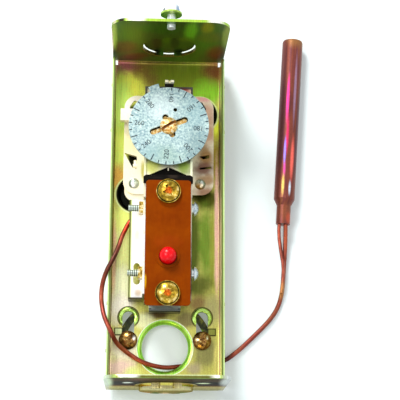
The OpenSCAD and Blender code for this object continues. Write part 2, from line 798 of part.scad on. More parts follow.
// Spring that loads the lever against the element.
module range_spring() {
  color("#8c9196") translate([0, dial_y, 0])
    coil_spring((spring_d - spring_wire) / 2, spring_wire, lever_top_z, cap_z, 35);
}

// Cap between the spring and the adjusting screw's tip.
module spring_cap() {
  color("#c8a050") translate([0, dial_y, cap_z]) cylinder(h = cap_t, d = spring_d);
}

// Screw that the dial turns; its tip bears on the spring's cap.
module adjusting_screw() {
  color("#c8a050") translate([0, dial_y, 0]) {
    translate([0, 0, cap_z + cap_t + slide_gap])
      cylinder(h = hub_z - cap_z - cap_t - slide_gap, r = adjust_d / 2);
    translate([0, 0, plate_top_z + slide_gap]) cylinder(h = collar_h, r = adjust_d / 2 + 1.2);
  }
}

// Cross of two slots, for the dial and for the hub below it.
module cross_outline(less) {
  oblong(cross_long - 2 * less, cross_w - 2 * less);
  rotate([0, 0, 90]) oblong(cross_short - 2 * less, cross_w - 2 * less);
}

// Brass hub: a cross that shows through the dial's slots, and a domed head with a driver slot.
module dial_hub() {
  color("#d8a850") translate([0, dial_y, hub_z]) difference() {
    union() {
      cylinder(h = hub_t, d = dome_d - 1);
      rotate([0, 0, cross_turn]) linear_extrude(height = hub_arm_t) cross_outline(cross_fit);
      cylinder(h = hub_t + dial_t, d = cross_w - 2 * cross_fit);
      translate([0, 0, hub_t + dial_t]) dome(dome_d, dome_h);
    }
    rotate([0, 0, dome_slot_turn]) translate([-dome_d, -dome_slot_w / 2, hub_t + dial_t + 0.6])
      cube([2 * dome_d, dome_slot_w, dome_h]);
  }
}

// Flat dial with its stop lug, cross-shaped cut-out and sight hole.
module dial() {
  r = dial_r + lug_out;
  color("#c8d8dc") translate([0, dial_y, dial_low_z]) linear_extrude(height = dial_t) difference() {
    union() {
      circle(r = dial_r, $fn = 96);
      intersection() {
        circle(r = r);
        polygon([[0, 0], 2 * r * [cos(lug_from), sin(lug_from)], 2 * r * [cos(lug_to), sin(lug_to)]]);
      }
    }
    rotate([0, 0, cross_turn]) cross_outline(0);
    translate([2.7, 7.2]) circle(r = 0.85);
  }
}

// Moulded block with a gabled nose under the frame and a pocket for the reset button.
module switch_housing() {
  color("#15151a") difference() {
    union() {
      span([-channel_half, housing_low_y, housing_step_z], [channel_half, wall_end_y, card_z]);
      span([-channel_half, housing_foot_y, housing_z], [channel_half, wall_end_y, housing_step_z + eps]);
      span([-channel_half, wall_end_y - eps, nose_low_z], [channel_half, housing_high_y, card_z]);
      translate([0, 0, nose_low_z]) linear_extrude(height = nose_top_z - nose_low_z)
        polygon([
          [-channel_half, housing_high_y - 1], [channel_half, housing_high_y - 1],
          [channel_half, gable_side_y], [0, nose_high_y], [-channel_half, gable_side_y]
        ]);
      translate([0, 0, frame_top_z + 0.1]) linear_extrude(height = 1.2)
        polygon([
          [-wing_half, housing_high_y - 1], [wing_half, housing_high_y - 1], [wing_half, gable_side_y - 0.3],
          [channel_half, gable_side_y + 0.5], [-channel_half, gable_side_y + 0.5], [-wing_half, gable_side_y - 0.3]
        ]);
      span([-channel_half, housing_high_y - 1, nose_low_z], [channel_half, gable_side_y, frame_top_z + 0.1 + eps]);
    }
    translate([0, button_y, pocket_z]) cylinder(h = card_z, r = button_flange_r + button_fit);
    for (y = terminals_y) translate([0, y, card_z - 8]) cylinder(h = 20, r = terminal_shank_r + screw_fit);
    for (y = throughs_y) translate([0, y, through_z])
      rod_x(-channel_half - 1, channel_half + 1, through_d / 2 + screw_fit);
  }
}

// Laminate card that closes the housing, with a raised ring round the button.
module switch_card() {
  color("#a84800") difference() {
    union() {
      translate([0, 0, card_z]) linear_extrude(height = card_t)
        rounded([-card_w / 2, card_low_y], [card_w / 2, card_high_y], 1.4);
      translate([0, button_y, card_top_z - eps]) cylinder(h = 0.35, r = 5);
    }
    translate([0, button_y, card_z - 1]) cylinder(h = card_t + 3, r = button_d / 2 + button_fit);
    for (y = terminals_y) translate([0, y, card_z - 1]) cylinder(h = card_t + 2, r = terminal_shank_r + screw_fit);
  }
}

// Brass cups under the two terminal screws.
module terminal_cups() {
  color("#c8a020") for (y = terminals_y) translate([0, y, card_top_z]) difference() {
    cylinder(h = cup_t + 0.5, d = terminal_cup_d);
    translate([0, 0, cup_t]) cylinder(h = 2, d = terminal_cup_d - 0.7);
    translate([0, 0, -1]) cylinder(h = cup_t + 2, r = terminal_shank_r + screw_fit);
  }
}

// Binding-head terminal screws.
module terminal_screws() {
  color("#c8a020") for (y = terminals_y) translate([0, y, card_top_z + cup_t])
    rotate([0, 0, 25])
      pan_screw(terminal_head_d, terminal_head_h, terminal_shank_r, cup_t + card_t + terminal_reach, 0);
}

// Domed reset button with a retaining flange and a stem.
module reset_button() {
  rest = card_z - slide_gap;
  color("#e8000c") translate([0, button_y, 0]) {
    translate([0, 0, rest - button_flange_t]) cylinder(h = button_flange_t, r = button_flange_r);
    translate([0, 0, rest - eps]) cylinder(h = card_top_z + button_out - 2.4 - rest + eps, d = button_d);
    translate([0, 0, card_top_z + button_out - 2.4 - eps]) dome(button_d, 2.4);
    translate([0, 0, pocket_z + button_travel + 0.5])
      cylinder(h = rest - button_flange_t - pocket_z - button_travel - 0.5 + eps, r = stem_r);
  }
}

// Return spring of the reset button, round its stem.
module reset_spring() {
  color("#b0b4b8") translate([0, button_y, 0])
    coil_spring(stem_r + 0.35 + reset_wire / 2, reset_wire, pocket_z, card_z - slide_gap - button_flange_t, 60);
}

// Angle strip on the left of the switch, clamped under the square nuts, with a foot at its lower end.
module side_bracket() {
  outer = -frame_half - side_flange_w;
  color("#f2ecd2") difference() {
    union() {
      span([-frame_half, side_low_y, arm_low_z], [-channel_half, wall_end_y - 0.6, arm_top_z]);
      span([outer, side_low_y, arm_low_z], [-channel_half, wall_end_y - 0.6, arm_low_z + frame_sheet]);
      span([outer, wall_end_y - 0.6 - eps, arm_low_z], [-frame_half - 0.2, side_high_y, arm_low_z + frame_sheet]);
      span([outer, side_low_y, 0], [-frame_half, side_low_y + frame_sheet, arm_low_z + eps]);
    }
    translate([-frame_half - 2.4, through_low_y + 0.8, arm_low_z - 1]) rotate([0, 0, 90])
      linear_extrude(height = frame_sheet + 2) oblong(side_slot_l, side_slot_w);
    for (y = throughs_y) translate([0, y, through_z])
      rod_x(-frame_half - 1, 0, through_d / 2 + screw_fit);
  }
}

// Two screws through the bracket, the housing and the frame's arm.
module through_screws() {
  color("#cfd4da") for (y = throughs_y) translate([0, y, through_z]) {
    rod_x(-frame_half - nut_t - through_tail, frame_half + eps, through_d / 2);
    rod_x(frame_half, frame_half + head_gap + eps, through_d / 2 + 0.9);
    translate([frame_half + head_gap, 0, 0]) rotate([0, 90, 0]) dome(2 * through_head_r, through_head_h);
  }
}

// Square nuts on the through screws.
module square_nuts() {
  color("#d2aa3a") for (y = throughs_y) translate([-frame_half - nut_t, y, through_z]) difference() {
    translate([0, -nut_w / 2, -nut_w / 2]) cube([nut_t, nut_w, nut_w]);
    rod_x(-1, nut_t + 1, through_d / 2 + screw_fit / 2);
  }
}

// Grey spring-steel clip with an oblong opening, that carries the switch's lower end.
module end_clip() {
  top = housing_z - 0.1;
  front = clip_low_y;
  color("#6e7678") difference() {
    union() {
      span([clip_left, front + 0.8, top - 0.8], [clip_right, housing_foot_y + clip_grip, top]);
      translate([0, front + 0.8, top - 0.8]) rod_x(clip_left, clip_right, 0.8);
      span([clip_left, front, 0], [clip_right, front + 0.8, top - 0.8]);
      span([clip_left, front, 0], [clip_right, housing_foot_y + clip_grip, 0.8]);
    }
    span([clip_left + 1.1, front + 1, top - 2], [clip_right - 1.1, housing_foot_y - 0.3, top + 1]);
  }
}

// Copper capillary along its route.
module capillary() {
  color("#9a3a20") tube(route, capillary_d / 2);
}

// Sealed filling stub beside the capillary at the bulb.
module fill_stub() {
  color("#9a3a20") tube(stub_route, stub_r);
}

// Copper bulb with a flat spun end, a shoulder and a crimped neck.
module bulb() {
  r = bulb_d / 2;
  n = neck_d / 2;
  shoulder = 3;
  color("#7a3a2c") translate([neck_x, neck_y, bulb_z]) rotate([0, 0, bulb_turn]) rotate([-90, 0, 0])
    rotate_extrude() {
      square([n, neck_l]);
      polygon([[0, neck_l - shoulder], [n, neck_l - shoulder], [r, neck_l], [r, neck_l + bulb_l - bulb_edge_r],
        [r - bulb_edge_r * 0.3, neck_l + bulb_l - bulb_edge_r * 0.3], [r - bulb_edge_r, neck_l + bulb_l],
        [0, neck_l + bulb_l + 0.3]]);
    }
}

case_back();
cover_screw();
cover_screw_washer();
retainer_clamp();
clamp_screws();
mechanism_frame();
base_plate();
ear_rivets();
power_element();
element_nut();
operating_lever();
lever_pin();
range_spring();
spring_cap();
adjusting_screw();
dial_hub();
dial();
switch_housing();
switch_card();
terminal_cups();
terminal_screws();
reset_button();
reset_spring();
side_bracket();
through_screws();
square_nuts();
end_clip();
capillary();
fill_stub();
bulb();
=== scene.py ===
import math

import bpy
from mathutils import Matrix, Vector


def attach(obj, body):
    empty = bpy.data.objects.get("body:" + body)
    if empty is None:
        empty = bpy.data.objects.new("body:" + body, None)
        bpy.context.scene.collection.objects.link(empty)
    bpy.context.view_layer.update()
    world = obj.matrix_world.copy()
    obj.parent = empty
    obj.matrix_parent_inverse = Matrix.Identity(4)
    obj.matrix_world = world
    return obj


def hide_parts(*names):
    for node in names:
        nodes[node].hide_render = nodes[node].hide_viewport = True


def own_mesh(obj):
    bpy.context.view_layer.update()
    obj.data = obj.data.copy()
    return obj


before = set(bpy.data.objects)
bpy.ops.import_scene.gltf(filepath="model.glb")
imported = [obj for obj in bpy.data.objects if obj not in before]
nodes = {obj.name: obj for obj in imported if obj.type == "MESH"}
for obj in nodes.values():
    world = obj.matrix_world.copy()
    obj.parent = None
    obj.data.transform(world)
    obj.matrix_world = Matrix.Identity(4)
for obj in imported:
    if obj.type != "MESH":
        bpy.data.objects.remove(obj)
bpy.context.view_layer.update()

# ---- Table, light and camera ----
# A white laminate table under a soft daylight room, seen from almost straight above
# by a camera that stands a little below the middle of the part.
TABLE_Z = -0.00462
TABLE_HALF = 2.0
LIGHT_AIM = (0.01, 0.055, 0.0)
LENS_MM = 98.73
CAMERA_PLACE = ((0.9984, -0.0166, -0.0554, -0.0122), (0.00385, 0.9750, -0.2222, -0.0431),
                (0.0577, 0.2218, 0.9734, 0.4766), (0, 0, 0, 1))


def linear(code):
    """Linear colour of an sRGB hex value."""
    parts = [int(code[i:i + 2], 16) / 255 for i in (1, 3, 5)]
    return [c / 12.92 if c <= 0.04045 else ((c + 0.055) / 1.055) ** 2.4 for c in parts] + [1.0]


def add(tree, kind, inputs=None, **settings):
    """Adds a node; an input that is given a socket is linked to it."""
    node = tree.nodes.new(kind)
    for name, value in settings.items():
        setattr(node, name, value)
    for name, value in (inputs or {}).items():
        if isinstance(value, bpy.types.NodeSocket):
            tree.links.new(value, node.inputs[name])
        else:
            node.inputs[name].default_value = value
    return node


def maths(tree, operation, *values):
    """The result of a Math node on numbers or sockets."""
    return add(tree, "ShaderNodeMath", dict(enumerate(values)), operation=operation).outputs[0]


def on_view(tree):
    """1 where the eye, a gloss or a clear piece looks straight at the surroundings."""
    path = add(tree, "ShaderNodeLightPath").outputs
    seen = maths(tree, "ADD", path["Is Camera Ray"], path["Is Glossy Ray"])
    return add(tree, "ShaderNodeMath", {0: seen, 1: path["Is Transmission Ray"]},
               operation="ADD", use_clamp=True).outputs[0]


# The room lights the part at a plain level, and is white only where it is looked at.
room = bpy.data.worlds.new("soft_daylight_room")
room.use_nodes = True
tree = room.node_tree
tree.nodes.clear()
lit = add(tree, "ShaderNodeBackground", {"Color": linear("#EEF4FA"), "Strength": 0.36})
shown = add(tree, "ShaderNodeBackground", {"Color": (1, 1, 1, 1), "Strength": 1.0})
both = add(tree, "ShaderNodeMixShader", {0: on_view(tree), 1: lit.outputs[0], 2: shown.outputs[0]})
add(tree, "ShaderNodeOutputWorld", {"Surface": both.outputs[0]})
bpy.context.scene.world = room
bpy.context.scene.view_settings.view_transform = "Standard"

# The table is matt and keeps the shadow; a little glow, seen but not lighting, brings it to white.
laminate = bpy.data.materials.new("white_table_laminate")
laminate.use_nodes = True
tree = laminate.node_tree
tree.nodes.clear()
matt = add(tree, "ShaderNodeBsdfDiffuse", {"Color": linear("#E2ECEC")})
glow = add(tree, "ShaderNodeEmission", {"Color": linear("#F4F8F6"), "Strength": 0.22})
dark = add(tree, "ShaderNodeEmission", {"Color": (0, 0, 0, 1), "Strength": 0.0})
lift = add(tree, "ShaderNodeMixShader", {0: on_view(tree), 1: dark.outputs[0], 2: glow.outputs[0]})
total = add(tree, "ShaderNodeAddShader", {0: matt.outputs[0], 1: lift.outputs[0]})
add(tree, "ShaderNodeOutputMaterial", {"Surface": total.outputs[0]})

table_mesh = bpy.data.meshes.new("table_top")
table_corners = [(TABLE_HALF * x, TABLE_HALF * y, TABLE_Z) for x, y in ((-1, -1), (1, -1), (1, 1), (-1, 1))]
table_mesh.from_pydata(table_corners, [], [(0, 1, 2, 3)])
table = bpy.data.objects.new("table_top", table_mesh)
table_mesh.materials.append(laminate)
bpy.context.scene.collection.objects.link(table)

for name, place, size, watts in (
        ("window_light", (-0.24, 0.68, 0.52), 0.25, 6.2),
        ("ceiling_light", (-0.42, 0.16, 0.76), 0.40, 2.8),
        ("far_wall_light", (0.50, 0.00, 0.60), 0.50, 0.8),
        ("front_fill", (-0.05, -0.60, 0.45), 0.50, 0.7)):
    lamp = bpy.data.lights.new(name, "AREA")
    lamp.shape = "DISK"
    lamp.size = size
    lamp.energy = watts
    lamp_object = bpy.data.objects.new(name, lamp)
    lamp_object.location = place
    lamp_object.rotation_euler = (Vector(LIGHT_AIM) - Vector(place)).to_track_quat("-Z", "Y").to_euler()
    bpy.context.scene.collection.objects.link(lamp_object)

# The lens and the camera's place were solved from the photograph's perspective.
eye = bpy.data.cameras.new("camera")
eye.sensor_width = 36.0
eye.lens = LENS_MM
eye.clip_start = 0.01
eye.clip_end = 10.0
camera = bpy.data.objects.new("camera", eye)
camera.matrix_world = Matrix(CAMERA_PLACE)
bpy.context.scene.collection.objects.link(camera)
bpy.context.scene.camera = camera

# ---- Capillary ----
# Soft copper tube of 2 mm that joins the power element to the bulb. It leaves the socket under
# the mechanism, bows out over the left wall, and goes down through the spud hole and under the case.
CAPILLARY_RADIUS = 0.001
CAPILLARY_MM = [
    (0, 90.2, 2.6), (0, 84, 2.6), (-0.5, 78.5, 2.7), (-2, 73, 2.9), (-5, 67.5, 3.1), (-9, 62.5, 3.5),
    (-13, 58, 4.1), (-16.3, 54, 5), (-18, 50.5, 6.2), (-19.4, 47, 7.8), (-20.7, 42.5, 9.8),
    (-22.1, 38.5, 11.6), (-23.7, 35, 12.5), (-25.2, 32, 12.4), (-26.4, 29, 11.3), (-27.2, 26, 10.2),
    (-27.6, 22.8, 9.4), (-27.6, 19.5, 9.2), (-27.1, 16, 10), (-26.3, 12.5, 11.4), (-24.9, 9, 12.4),
    (-23.2, 5.6, 12.2), (-21.8, 2.7, 9.8), (-19.8, 0.2, 6.6), (-17.2, -1.8, 3.8), (-14.2, -3.8, 2),
    (-10.7, -5.8, 1.3), (-6.8, -7.3, 1), (-3.2, -8.1, 0.2), (0.2, -8.4, -1.1), (3.2, -8.2, -2.4),
    (6, -7.8, -3.6), (10, -7.5, -3.6), (15, -7.2, -3.6), (20.5, -6.6, -3.6), (26, -5, -3.6),
    (31, -1.6, -3.6), (35.6, 2.4, -3.6), (40, 6.6, -3.6), (44, 10.6, -3.6), (47.2, 14.4, -3.6),
    (49.7, 18.6, -3.6), (51.2, 23.2, -3.6), (52, 28, -3.6), (52.4, 33, -3.3), (52.7, 38, -2.7),
    (53, 43.5, -1.9), (53.2, 49.5, -1.1), (53.2, 56.2, -0.2)]


def new_material(name):
    """An empty Principled material: the material, its tree, its shader and the place in millimetres."""
    material = bpy.data.materials.new(name)
    material.use_nodes = True
    material.node_tree.nodes.clear()
    shader = add(material.node_tree, "ShaderNodeBsdfPrincipled")
    add(material.node_tree, "ShaderNodeOutputMaterial", {"Surface": shader.outputs[0]})
    metres = add(material.node_tree, "ShaderNodeTexCoord").outputs["Object"]
    place = add(material.node_tree, "ShaderNodeVectorMath", {0: metres, "Scale": 1000.0}, operation="SCALE")
    return material, material.node_tree, shader, place.outputs[0]


def noise(tree, place, millimetres, detail=3.0, roughness=0.6, stretch=(1, 1, 1)):
    """Cloudy value from 0 to 1 whose spots are about the given size, or longer where stretched."""
    per_spot = [1 / (millimetres * s) for s in stretch]
    sized = add(tree, "ShaderNodeVectorMath", {0: place, 1: per_spot}, operation="MULTIPLY").outputs[0]
    return add(tree, "ShaderNodeTexNoise", {"Vector": sized, "Scale": 1.0, "Detail": detail,
                                            "Roughness": roughness}).outputs["Fac"]


def ramp(tree, value, stops):
    """Colour ramp over a value, from (position, hex colour) pairs in rising order."""
    node = add(tree, "ShaderNodeValToRGB", {"Fac": value})
    band = node.color_ramp
    band.elements[0].position, band.elements[1].position = stops[0][0], stops[-1][0]
    band.elements[0].color, band.elements[1].color = linear(stops[0][1]), linear(stops[-1][1])
    for position, code in stops[1:-1]:
        band.elements.new(position).color = linear(code)
    return node.outputs["Color"]


def mix(tree, amount, below, over):
    """Mixes two colours, each a hex value or a socket, by an amount; 6, 7 and 2 are the colour sockets."""
    node = add(tree, "ShaderNodeMix", {"Factor": amount}, data_type="RGBA")
    for socket, colour in ((node.inputs[6], below), (node.inputs[7], over)):
        if isinstance(colour, str):
            socket.default_value = linear(colour)
        else:
            tree.links.new(colour, socket)
    return node.outputs[2]


def lay(tree, place, below, patches, ragged=0.0, cloud=None):
    """Lays soft-edged patches over a colour: (hex colour, centre and reach in millimetres, strength) each.

    A cloudy value makes their edges ragged.
    """
    spread = None
    if cloud is not None:
        spread = maths(tree, "MULTIPLY_ADD", cloud, 2 * ragged, -ragged)
    for colour, centre, reach, strength in patches:
        per_reach = [1 / r for r in reach]
        shift = [-c / r for c, r in zip(centre, reach)]
        local = add(tree, "ShaderNodeVectorMath", {0: place, 1: per_reach, 2: shift}, operation="MULTIPLY_ADD")
        far = add(tree, "ShaderNodeVectorMath", {0: local.outputs[0]}, operation="LENGTH").outputs["Value"]
        if spread is not None:
            far = maths(tree, "ADD", far, spread)
        soft = add(tree, "ShaderNodeMapRange", {
            "Value": far, "From Min": 1.0, "From Max": 0.3, "To Min": 0.0, "To Max": strength},
            interpolation_type="SMOOTHSTEP").outputs[0]
        below = mix(tree, soft, below, colour)
    return below


def shade(tree, colour, value, low, high):
    """Darkens and lightens a colour by a cloudy value."""
    level = add(tree, "ShaderNodeMapRange", {
        "Value": value, "From Min": 0.3, "From Max": 0.7, "To Min": low, "To Max": high}).outputs[0]
    return add(tree, "ShaderNodeHueSaturation", {"Color": colour, "Value": level}).outputs["Color"]


def paint(tree, shader, colour):
    """Makes a colour the finish's own."""
    tree.links.new(colour, shader.inputs["Base Color"])


def roughen(tree, shader, value, strength):
    """Puts a cloudy value into the surface as fine relief of a tenth of a millimetre."""
    bump = add(tree, "ShaderNodeBump", {"Height": value, "Strength": strength, "Distance": 0.0001})
    tree.links.new(bump.outputs[0], shader.inputs["Normal"])


def set_gloss(shader, metallic, roughness, specular=0.5):
    """Sets how metallic and how rough the finish is."""
    shader.inputs["Metallic"].default_value = metallic
    shader.inputs["Roughness"].default_value = roughness
    shader.inputs["Specular IOR Level"].default_value = specular


# Drawn copper with a brown oxide skin, red-brown with lighter and darker patches: the light one at the lower
# left is a painted highlight, and the darkest, where the tube runs out from under the case, is painted shade.
drawn_copper, tree, shader, place = new_material("drawn_copper_oxidised")
skin = ramp(tree, noise(tree, place, 6.0), [
    (0.32, "#7A2E1C"), (0.48, "#94402A"), (0.60, "#A84E36"), (0.74, "#C07048")])
skin = lay(tree, place, skin, (
    ("#C0300C", (-17.6, 52, 6), (3, 8, 6), 0.9),
    ("#4E2212", (-24, 37, 12), (7, 14, 8), 0.95),
    ("#8C3A2C", (-26, 13, 11), (4, 9, 6), 0.8),
    ("#B86040", (-18, 0, 6), (6, 5, 8), 0.8),
    ("#6E2E1E", (46, 22, -3), (17, 38, 7), 0.75),
    ("#6C2418", (36, 3, -3.6), (11, 11, 5), 0.7),
    ("#3E160F", (25, -5, -3.6), (8, 6, 5), 0.9),
    ("#7C3C22", (47, 15, -3.4), (6, 8, 5), 0.7),
    ("#B07C3A", (52, 26, -3), (4, 6, 5), 0.6),
    ("#A04A2C", (53.4, 50, -0.5), (2, 9, 5), 0.8),
    ("#642C20", (51.6, 44, -1.6), (1.6, 6, 6), 0.8)))
paint(tree, shader, shade(tree, skin, noise(tree, place, 0.9), 0.85, 1.15))
roughen(tree, shader, noise(tree, place, 0.4, 2.0), 0.15)
set_gloss(shader, 0.6, 0.36)

capillary_curve = bpy.data.curves.new("capillary_tube", "CURVE")
capillary_curve.dimensions = "3D"
capillary_curve.bevel_depth = CAPILLARY_RADIUS
capillary_curve.bevel_resolution = 5
capillary_curve.resolution_u = 5
capillary_curve.use_fill_caps = True
run = capillary_curve.splines.new("BEZIER")
run.bezier_points.add(len(CAPILLARY_MM) - 1)
for knot, point in zip(run.bezier_points, CAPILLARY_MM):
    knot.co = [c / 1000 for c in point]
    knot.handle_left_type = knot.handle_right_type = "AUTO"
capillary_curve.materials.append(drawn_copper)
capillary = bpy.data.objects.new("capillary_tube", capillary_curve)
bpy.context.scene.collection.objects.link(capillary)
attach(capillary, "base")
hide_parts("capillary")

# ---- Bulb and filling stub ----
# Copper bulb, closed by spinning at its top and crimped and brazed at its neck round the capillary
# and the sealed filling stub. Heat has run oxide colours along it, from purple to orange and gold.
BULB_TILT = math.radians(3.8)
heated_copper, tree, shader, place = new_material("heat_tinted_copper")
# The colours are laid in a frame that is turned with the bulb, in which its axis stands at X 47.7 mm.
along = add(tree, "ShaderNodeMapping", {"Vector": place, "Rotation": (0, 0, BULB_TILT)}).outputs[0]
streak = noise(tree, along, 3.0, 2.0, 0.5, (1, 18, 1))
skin = ramp(tree, streak, [
    (0.30, "#482030"), (0.40, "#5C2828"), (0.50, "#7C3C28"), (0.60, "#703230"), (0.72, "#945438")])
# Over the heat tints lie a painted dark reflection down the bulb's left side and painted highlights in coral
# and white-blue on its right.
skin = lay(tree, along, skin, (
    ("#4A2028", (44.5, 108, 2), (1.8, 46, 12), 0.85),
    ("#F03088", (46.9, 116, 3), (0.9, 15, 8), 0.9),
    ("#D82460", (47.6, 99, 3), (0.9, 12, 8), 0.8),
    ("#8878E8", (46.8, 91, 3), (0.7, 9, 8), 0.85),
    ("#C83C90", (47.0, 83, 3), (0.8, 5, 8), 0.8),
    ("#A888A8", (50.0, 122, 2), (0.9, 24, 8), 0.7),
    ("#FF6E60", (50.2, 88, 2), (1.2, 14, 8), 0.9),
    ("#D8B458", (46.7, 75.5, 3), (1.0, 7, 8), 0.85),
    ("#E0F0FF", (49.8, 74.5, 2), (0.8, 4.5, 8), 0.8),
    ("#9A6A38", (49.4, 145, 2), (6, 6, 12), 0.8),
    ("#8A4A2A", (49.4, 64, 0), (5, 6, 12), 0.7),
    ("#C85030", (50.6, 61, 1), (2, 4, 8), 0.7)), 0.25, streak)
paint(tree, shader, shade(tree, skin, noise(tree, place, 0.7), 0.86, 1.16))
roughen(tree, shader, noise(tree, place, 0.5, 2.0), 0.12)
set_gloss(shader, 0.55, 0.40)


def finish_node(name, material):
    """Gives a CAD node its finish."""
    mesh = nodes[name].data
    mesh.materials.clear()
    mesh.materials.append(material)


finish_node("bulb", heated_copper)
finish_node("fill_stub", drawn_copper)

# ---- Case back ----
# Folded mild-steel sheet of 1.2 mm, zinc plated and yellow chromated: a bright, brushed skin
# whose colour runs through lime, gold, green and mauve with the film's thickness.
FEET_MM = ((-14.1, 67.9), (14.3, 105.2))
FOOT_RIM_MM = (8.3, 9.0)
SPUD_MM = (0.0, 0.0)
SPUD_RING_MM = (8.0, 12.1)
SLOT_MM = (16.0, 13.0)
SLOT_RIM_MM = (2.0, 4.3)
SLOT_GROOVE_MM = (4.3, 4.9)
KNOCKOUT_MM = (0.0, 20.0)
KNOCKOUT_EDGE_MM = (11.5, 12.2)
MECHANISM_Y_MM = (68.0, 109.0)
WALL_IN_MM = 23.7
WALL_TOP_MM = 11.0
FLANGE_TOP_MM = 50.0
UPPER_FLANGE_Y_MM = 128.5
LOWER_FLANGE_Y_MM = -14.4


def split(tree, place):
    """X, Y and Z of the place."""
    return add(tree, "ShaderNodeSeparateXYZ", {"Vector": place}).outputs


def size_of(tree, value):
    """The value without its sign."""
    return maths(tree, "ABSOLUTE", value)


def from_axis(tree, first, second, centre):
    """Distance in millimetres from an axis, given the two coordinates across it."""
    offset = add(tree, "ShaderNodeCombineXYZ")
    for i, value in enumerate((first, second)):
        tree.links.new(maths(tree, "SUBTRACT", value, centre[i]), offset.inputs[i])
    return add(tree, "ShaderNodeVectorMath", {0: offset.outputs[0]}, operation="LENGTH").outputs["Value"]


def above(tree, value, low, high):
    """0 below low and 1 above high, with a soft step between; high may be the smaller one."""
    return add(tree, "ShaderNodeMapRange", {"Value": value, "From Min": low, "From Max": high},
               interpolation_type="SMOOTHSTEP").outputs[0]


def both_of(tree, *masks):
    """The product of masks."""
    result = masks[0]
    for mask in masks[1:]:
        result = maths(tree, "MULTIPLY", result, mask)
    return result


def within(tree, value, low, high, soft=0.15):
    """1 from low to high, with soft ends."""
    return both_of(tree, above(tree, value, low - soft, low + soft),
                   above(tree, value, high + soft, high - soft))


chromate, tree, shader, place = new_material("yellow_chromated_zinc")
x_mm, y_mm, z_mm = split(tree, place)
facing = split(tree, add(tree, "ShaderNodeTexCoord").outputs["Normal"])
wander = noise(tree, place, 9.0, 4.0)
brushed = noise(tree, place, 0.5, 2.0, 0.6, (1, 22, 22))
speckle = noise(tree, place, 0.7, 2.0, 0.7)

# The floor, from the maroon corners at the top to the cream and pink lower end; the dark patches at the top are
# partly the top flange's painted shadow, and the dark band at Y 14.5 mm is the end clip's painted shadow. A
# reach of
# 60 mm goes right through the sheet.
film = lay(tree, place, "#D0CC68", (
    ("#8E7034", (-6, 124, 0), (30, 13, 60), 1.0),
    ("#8A9C24", (8, 122, 0), (22, 14, 60), 0.9),
    ("#B05C68", (-22.5, 127, 0), (11, 7, 60), 0.95),
    ("#A0643A", (22.5, 127, 0), (9, 7, 60), 0.95),
    ("#FFFF60", (-17, 118, 0), (11, 10, 60), 1.0),
    ("#DCFF74", (-21.5, 107, 0), (8, 23, 60), 1.0),
    ("#A4E43C", (18, 116, 0), (9, 9, 60), 1.0),
    ("#4C7A1C", (16, 108, 0), (7, 8, 60), 0.8),
    ("#F4FF4C", (22.6, 101, 0), (3, 11, 60), 1.0),
    ("#ECFF70", (-22, 89, 0), (7, 15, 60), 0.95),
    ("#F0B450", (-22, 76, 0), (5, 8, 60), 0.9),
    ("#9C8428", (22, 84, 0), (4, 16, 60), 0.9),
    ("#50500E", (18.5, 66, 0), (8, 7, 60), 1.0),
    ("#F4FF84", (-20, 56, 0), (7, 10, 60), 1.0),
    ("#F6FC9C", (-19.5, 43, 0), (7, 14, 60), 1.0),
    ("#FAFCC8", (-19, 28, 0), (8, 12, 60), 0.95),
    ("#F4C498", (-22.9, 40, 0), (1.6, 26, 60), 0.9),
    ("#606C24", (12.0, 44, 0), (5, 26, 60), 1.0),
    ("#74982C", (17.5, 46, 0), (4.6, 24, 60), 0.9),
    ("#A0A83C", (20.6, 44, 0), (2, 26, 60), 0.8),
    ("#5C6420", (14, 27, 0), (9, 7, 60), 0.9),
    ("#805A3C", (14, 19.5, 0), (6, 5, 60), 0.8),
    ("#FFC8B8", (22.4, 54, 0), (1.5, 40, 60), 1.0),
    ("#B4AC74", (21, 16, 0), (6, 9, 60), 0.9),
    ("#FCF4E0", (-20, 17, 0), (9, 9, 60), 0.9),
    ("#584020", (-3, 14.5, 0), (8, 3, 60), 0.95),
    ("#F4F6BC", (-9, 11, 0), (6, 5, 60), 0.9),
    ("#8A7E50", (9, 12, 0), (6, 5, 60), 0.9),
    ("#FAF2D2", (-18, 0, 0), (10, 10, 60), 0.9),
    ("#F6D4C4", (-19, -8.5, 0), (9, 5, 60), 0.9),
    ("#E0EC8C", (-14, -11, 0), (5, 4, 60), 0.8),
    ("#8E8A52", (17, -2, 0), (9, 10, 60), 0.95),
    ("#B0A084", (12.5, -9, 0), (5, 4, 60), 0.8),
    ("#8C5C34", (15.5, -15.5, 0), (12, 1.8, 60), 0.8),
    ("#D4CA74", (22.4, -6, 0), (1.8, 12, 60), 0.9)), 0.45, wander)

# Painted shade: the floor is darkened under the mechanism, and the closed feet, under the frame's ears, are
# painted darker still inside their light rims.
side = size_of(tree, x_mm)
under = both_of(tree, above(tree, side, 18.5, 16.5), within(tree, y_mm, *MECHANISM_Y_MM, 1.5))
film = mix(tree, under, film, "#20200C")
for foot in FEET_MM:
    ring = from_axis(tree, x_mm, y_mm, foot)
    film = mix(tree, within(tree, ring, *FOOT_RIM_MM, 0.3), film, "#EEF8A8")
    film = mix(tree, above(tree, ring, FOOT_RIM_MM[0] + 0.2, FOOT_RIM_MM[0] - 0.2), film, "#12140A")

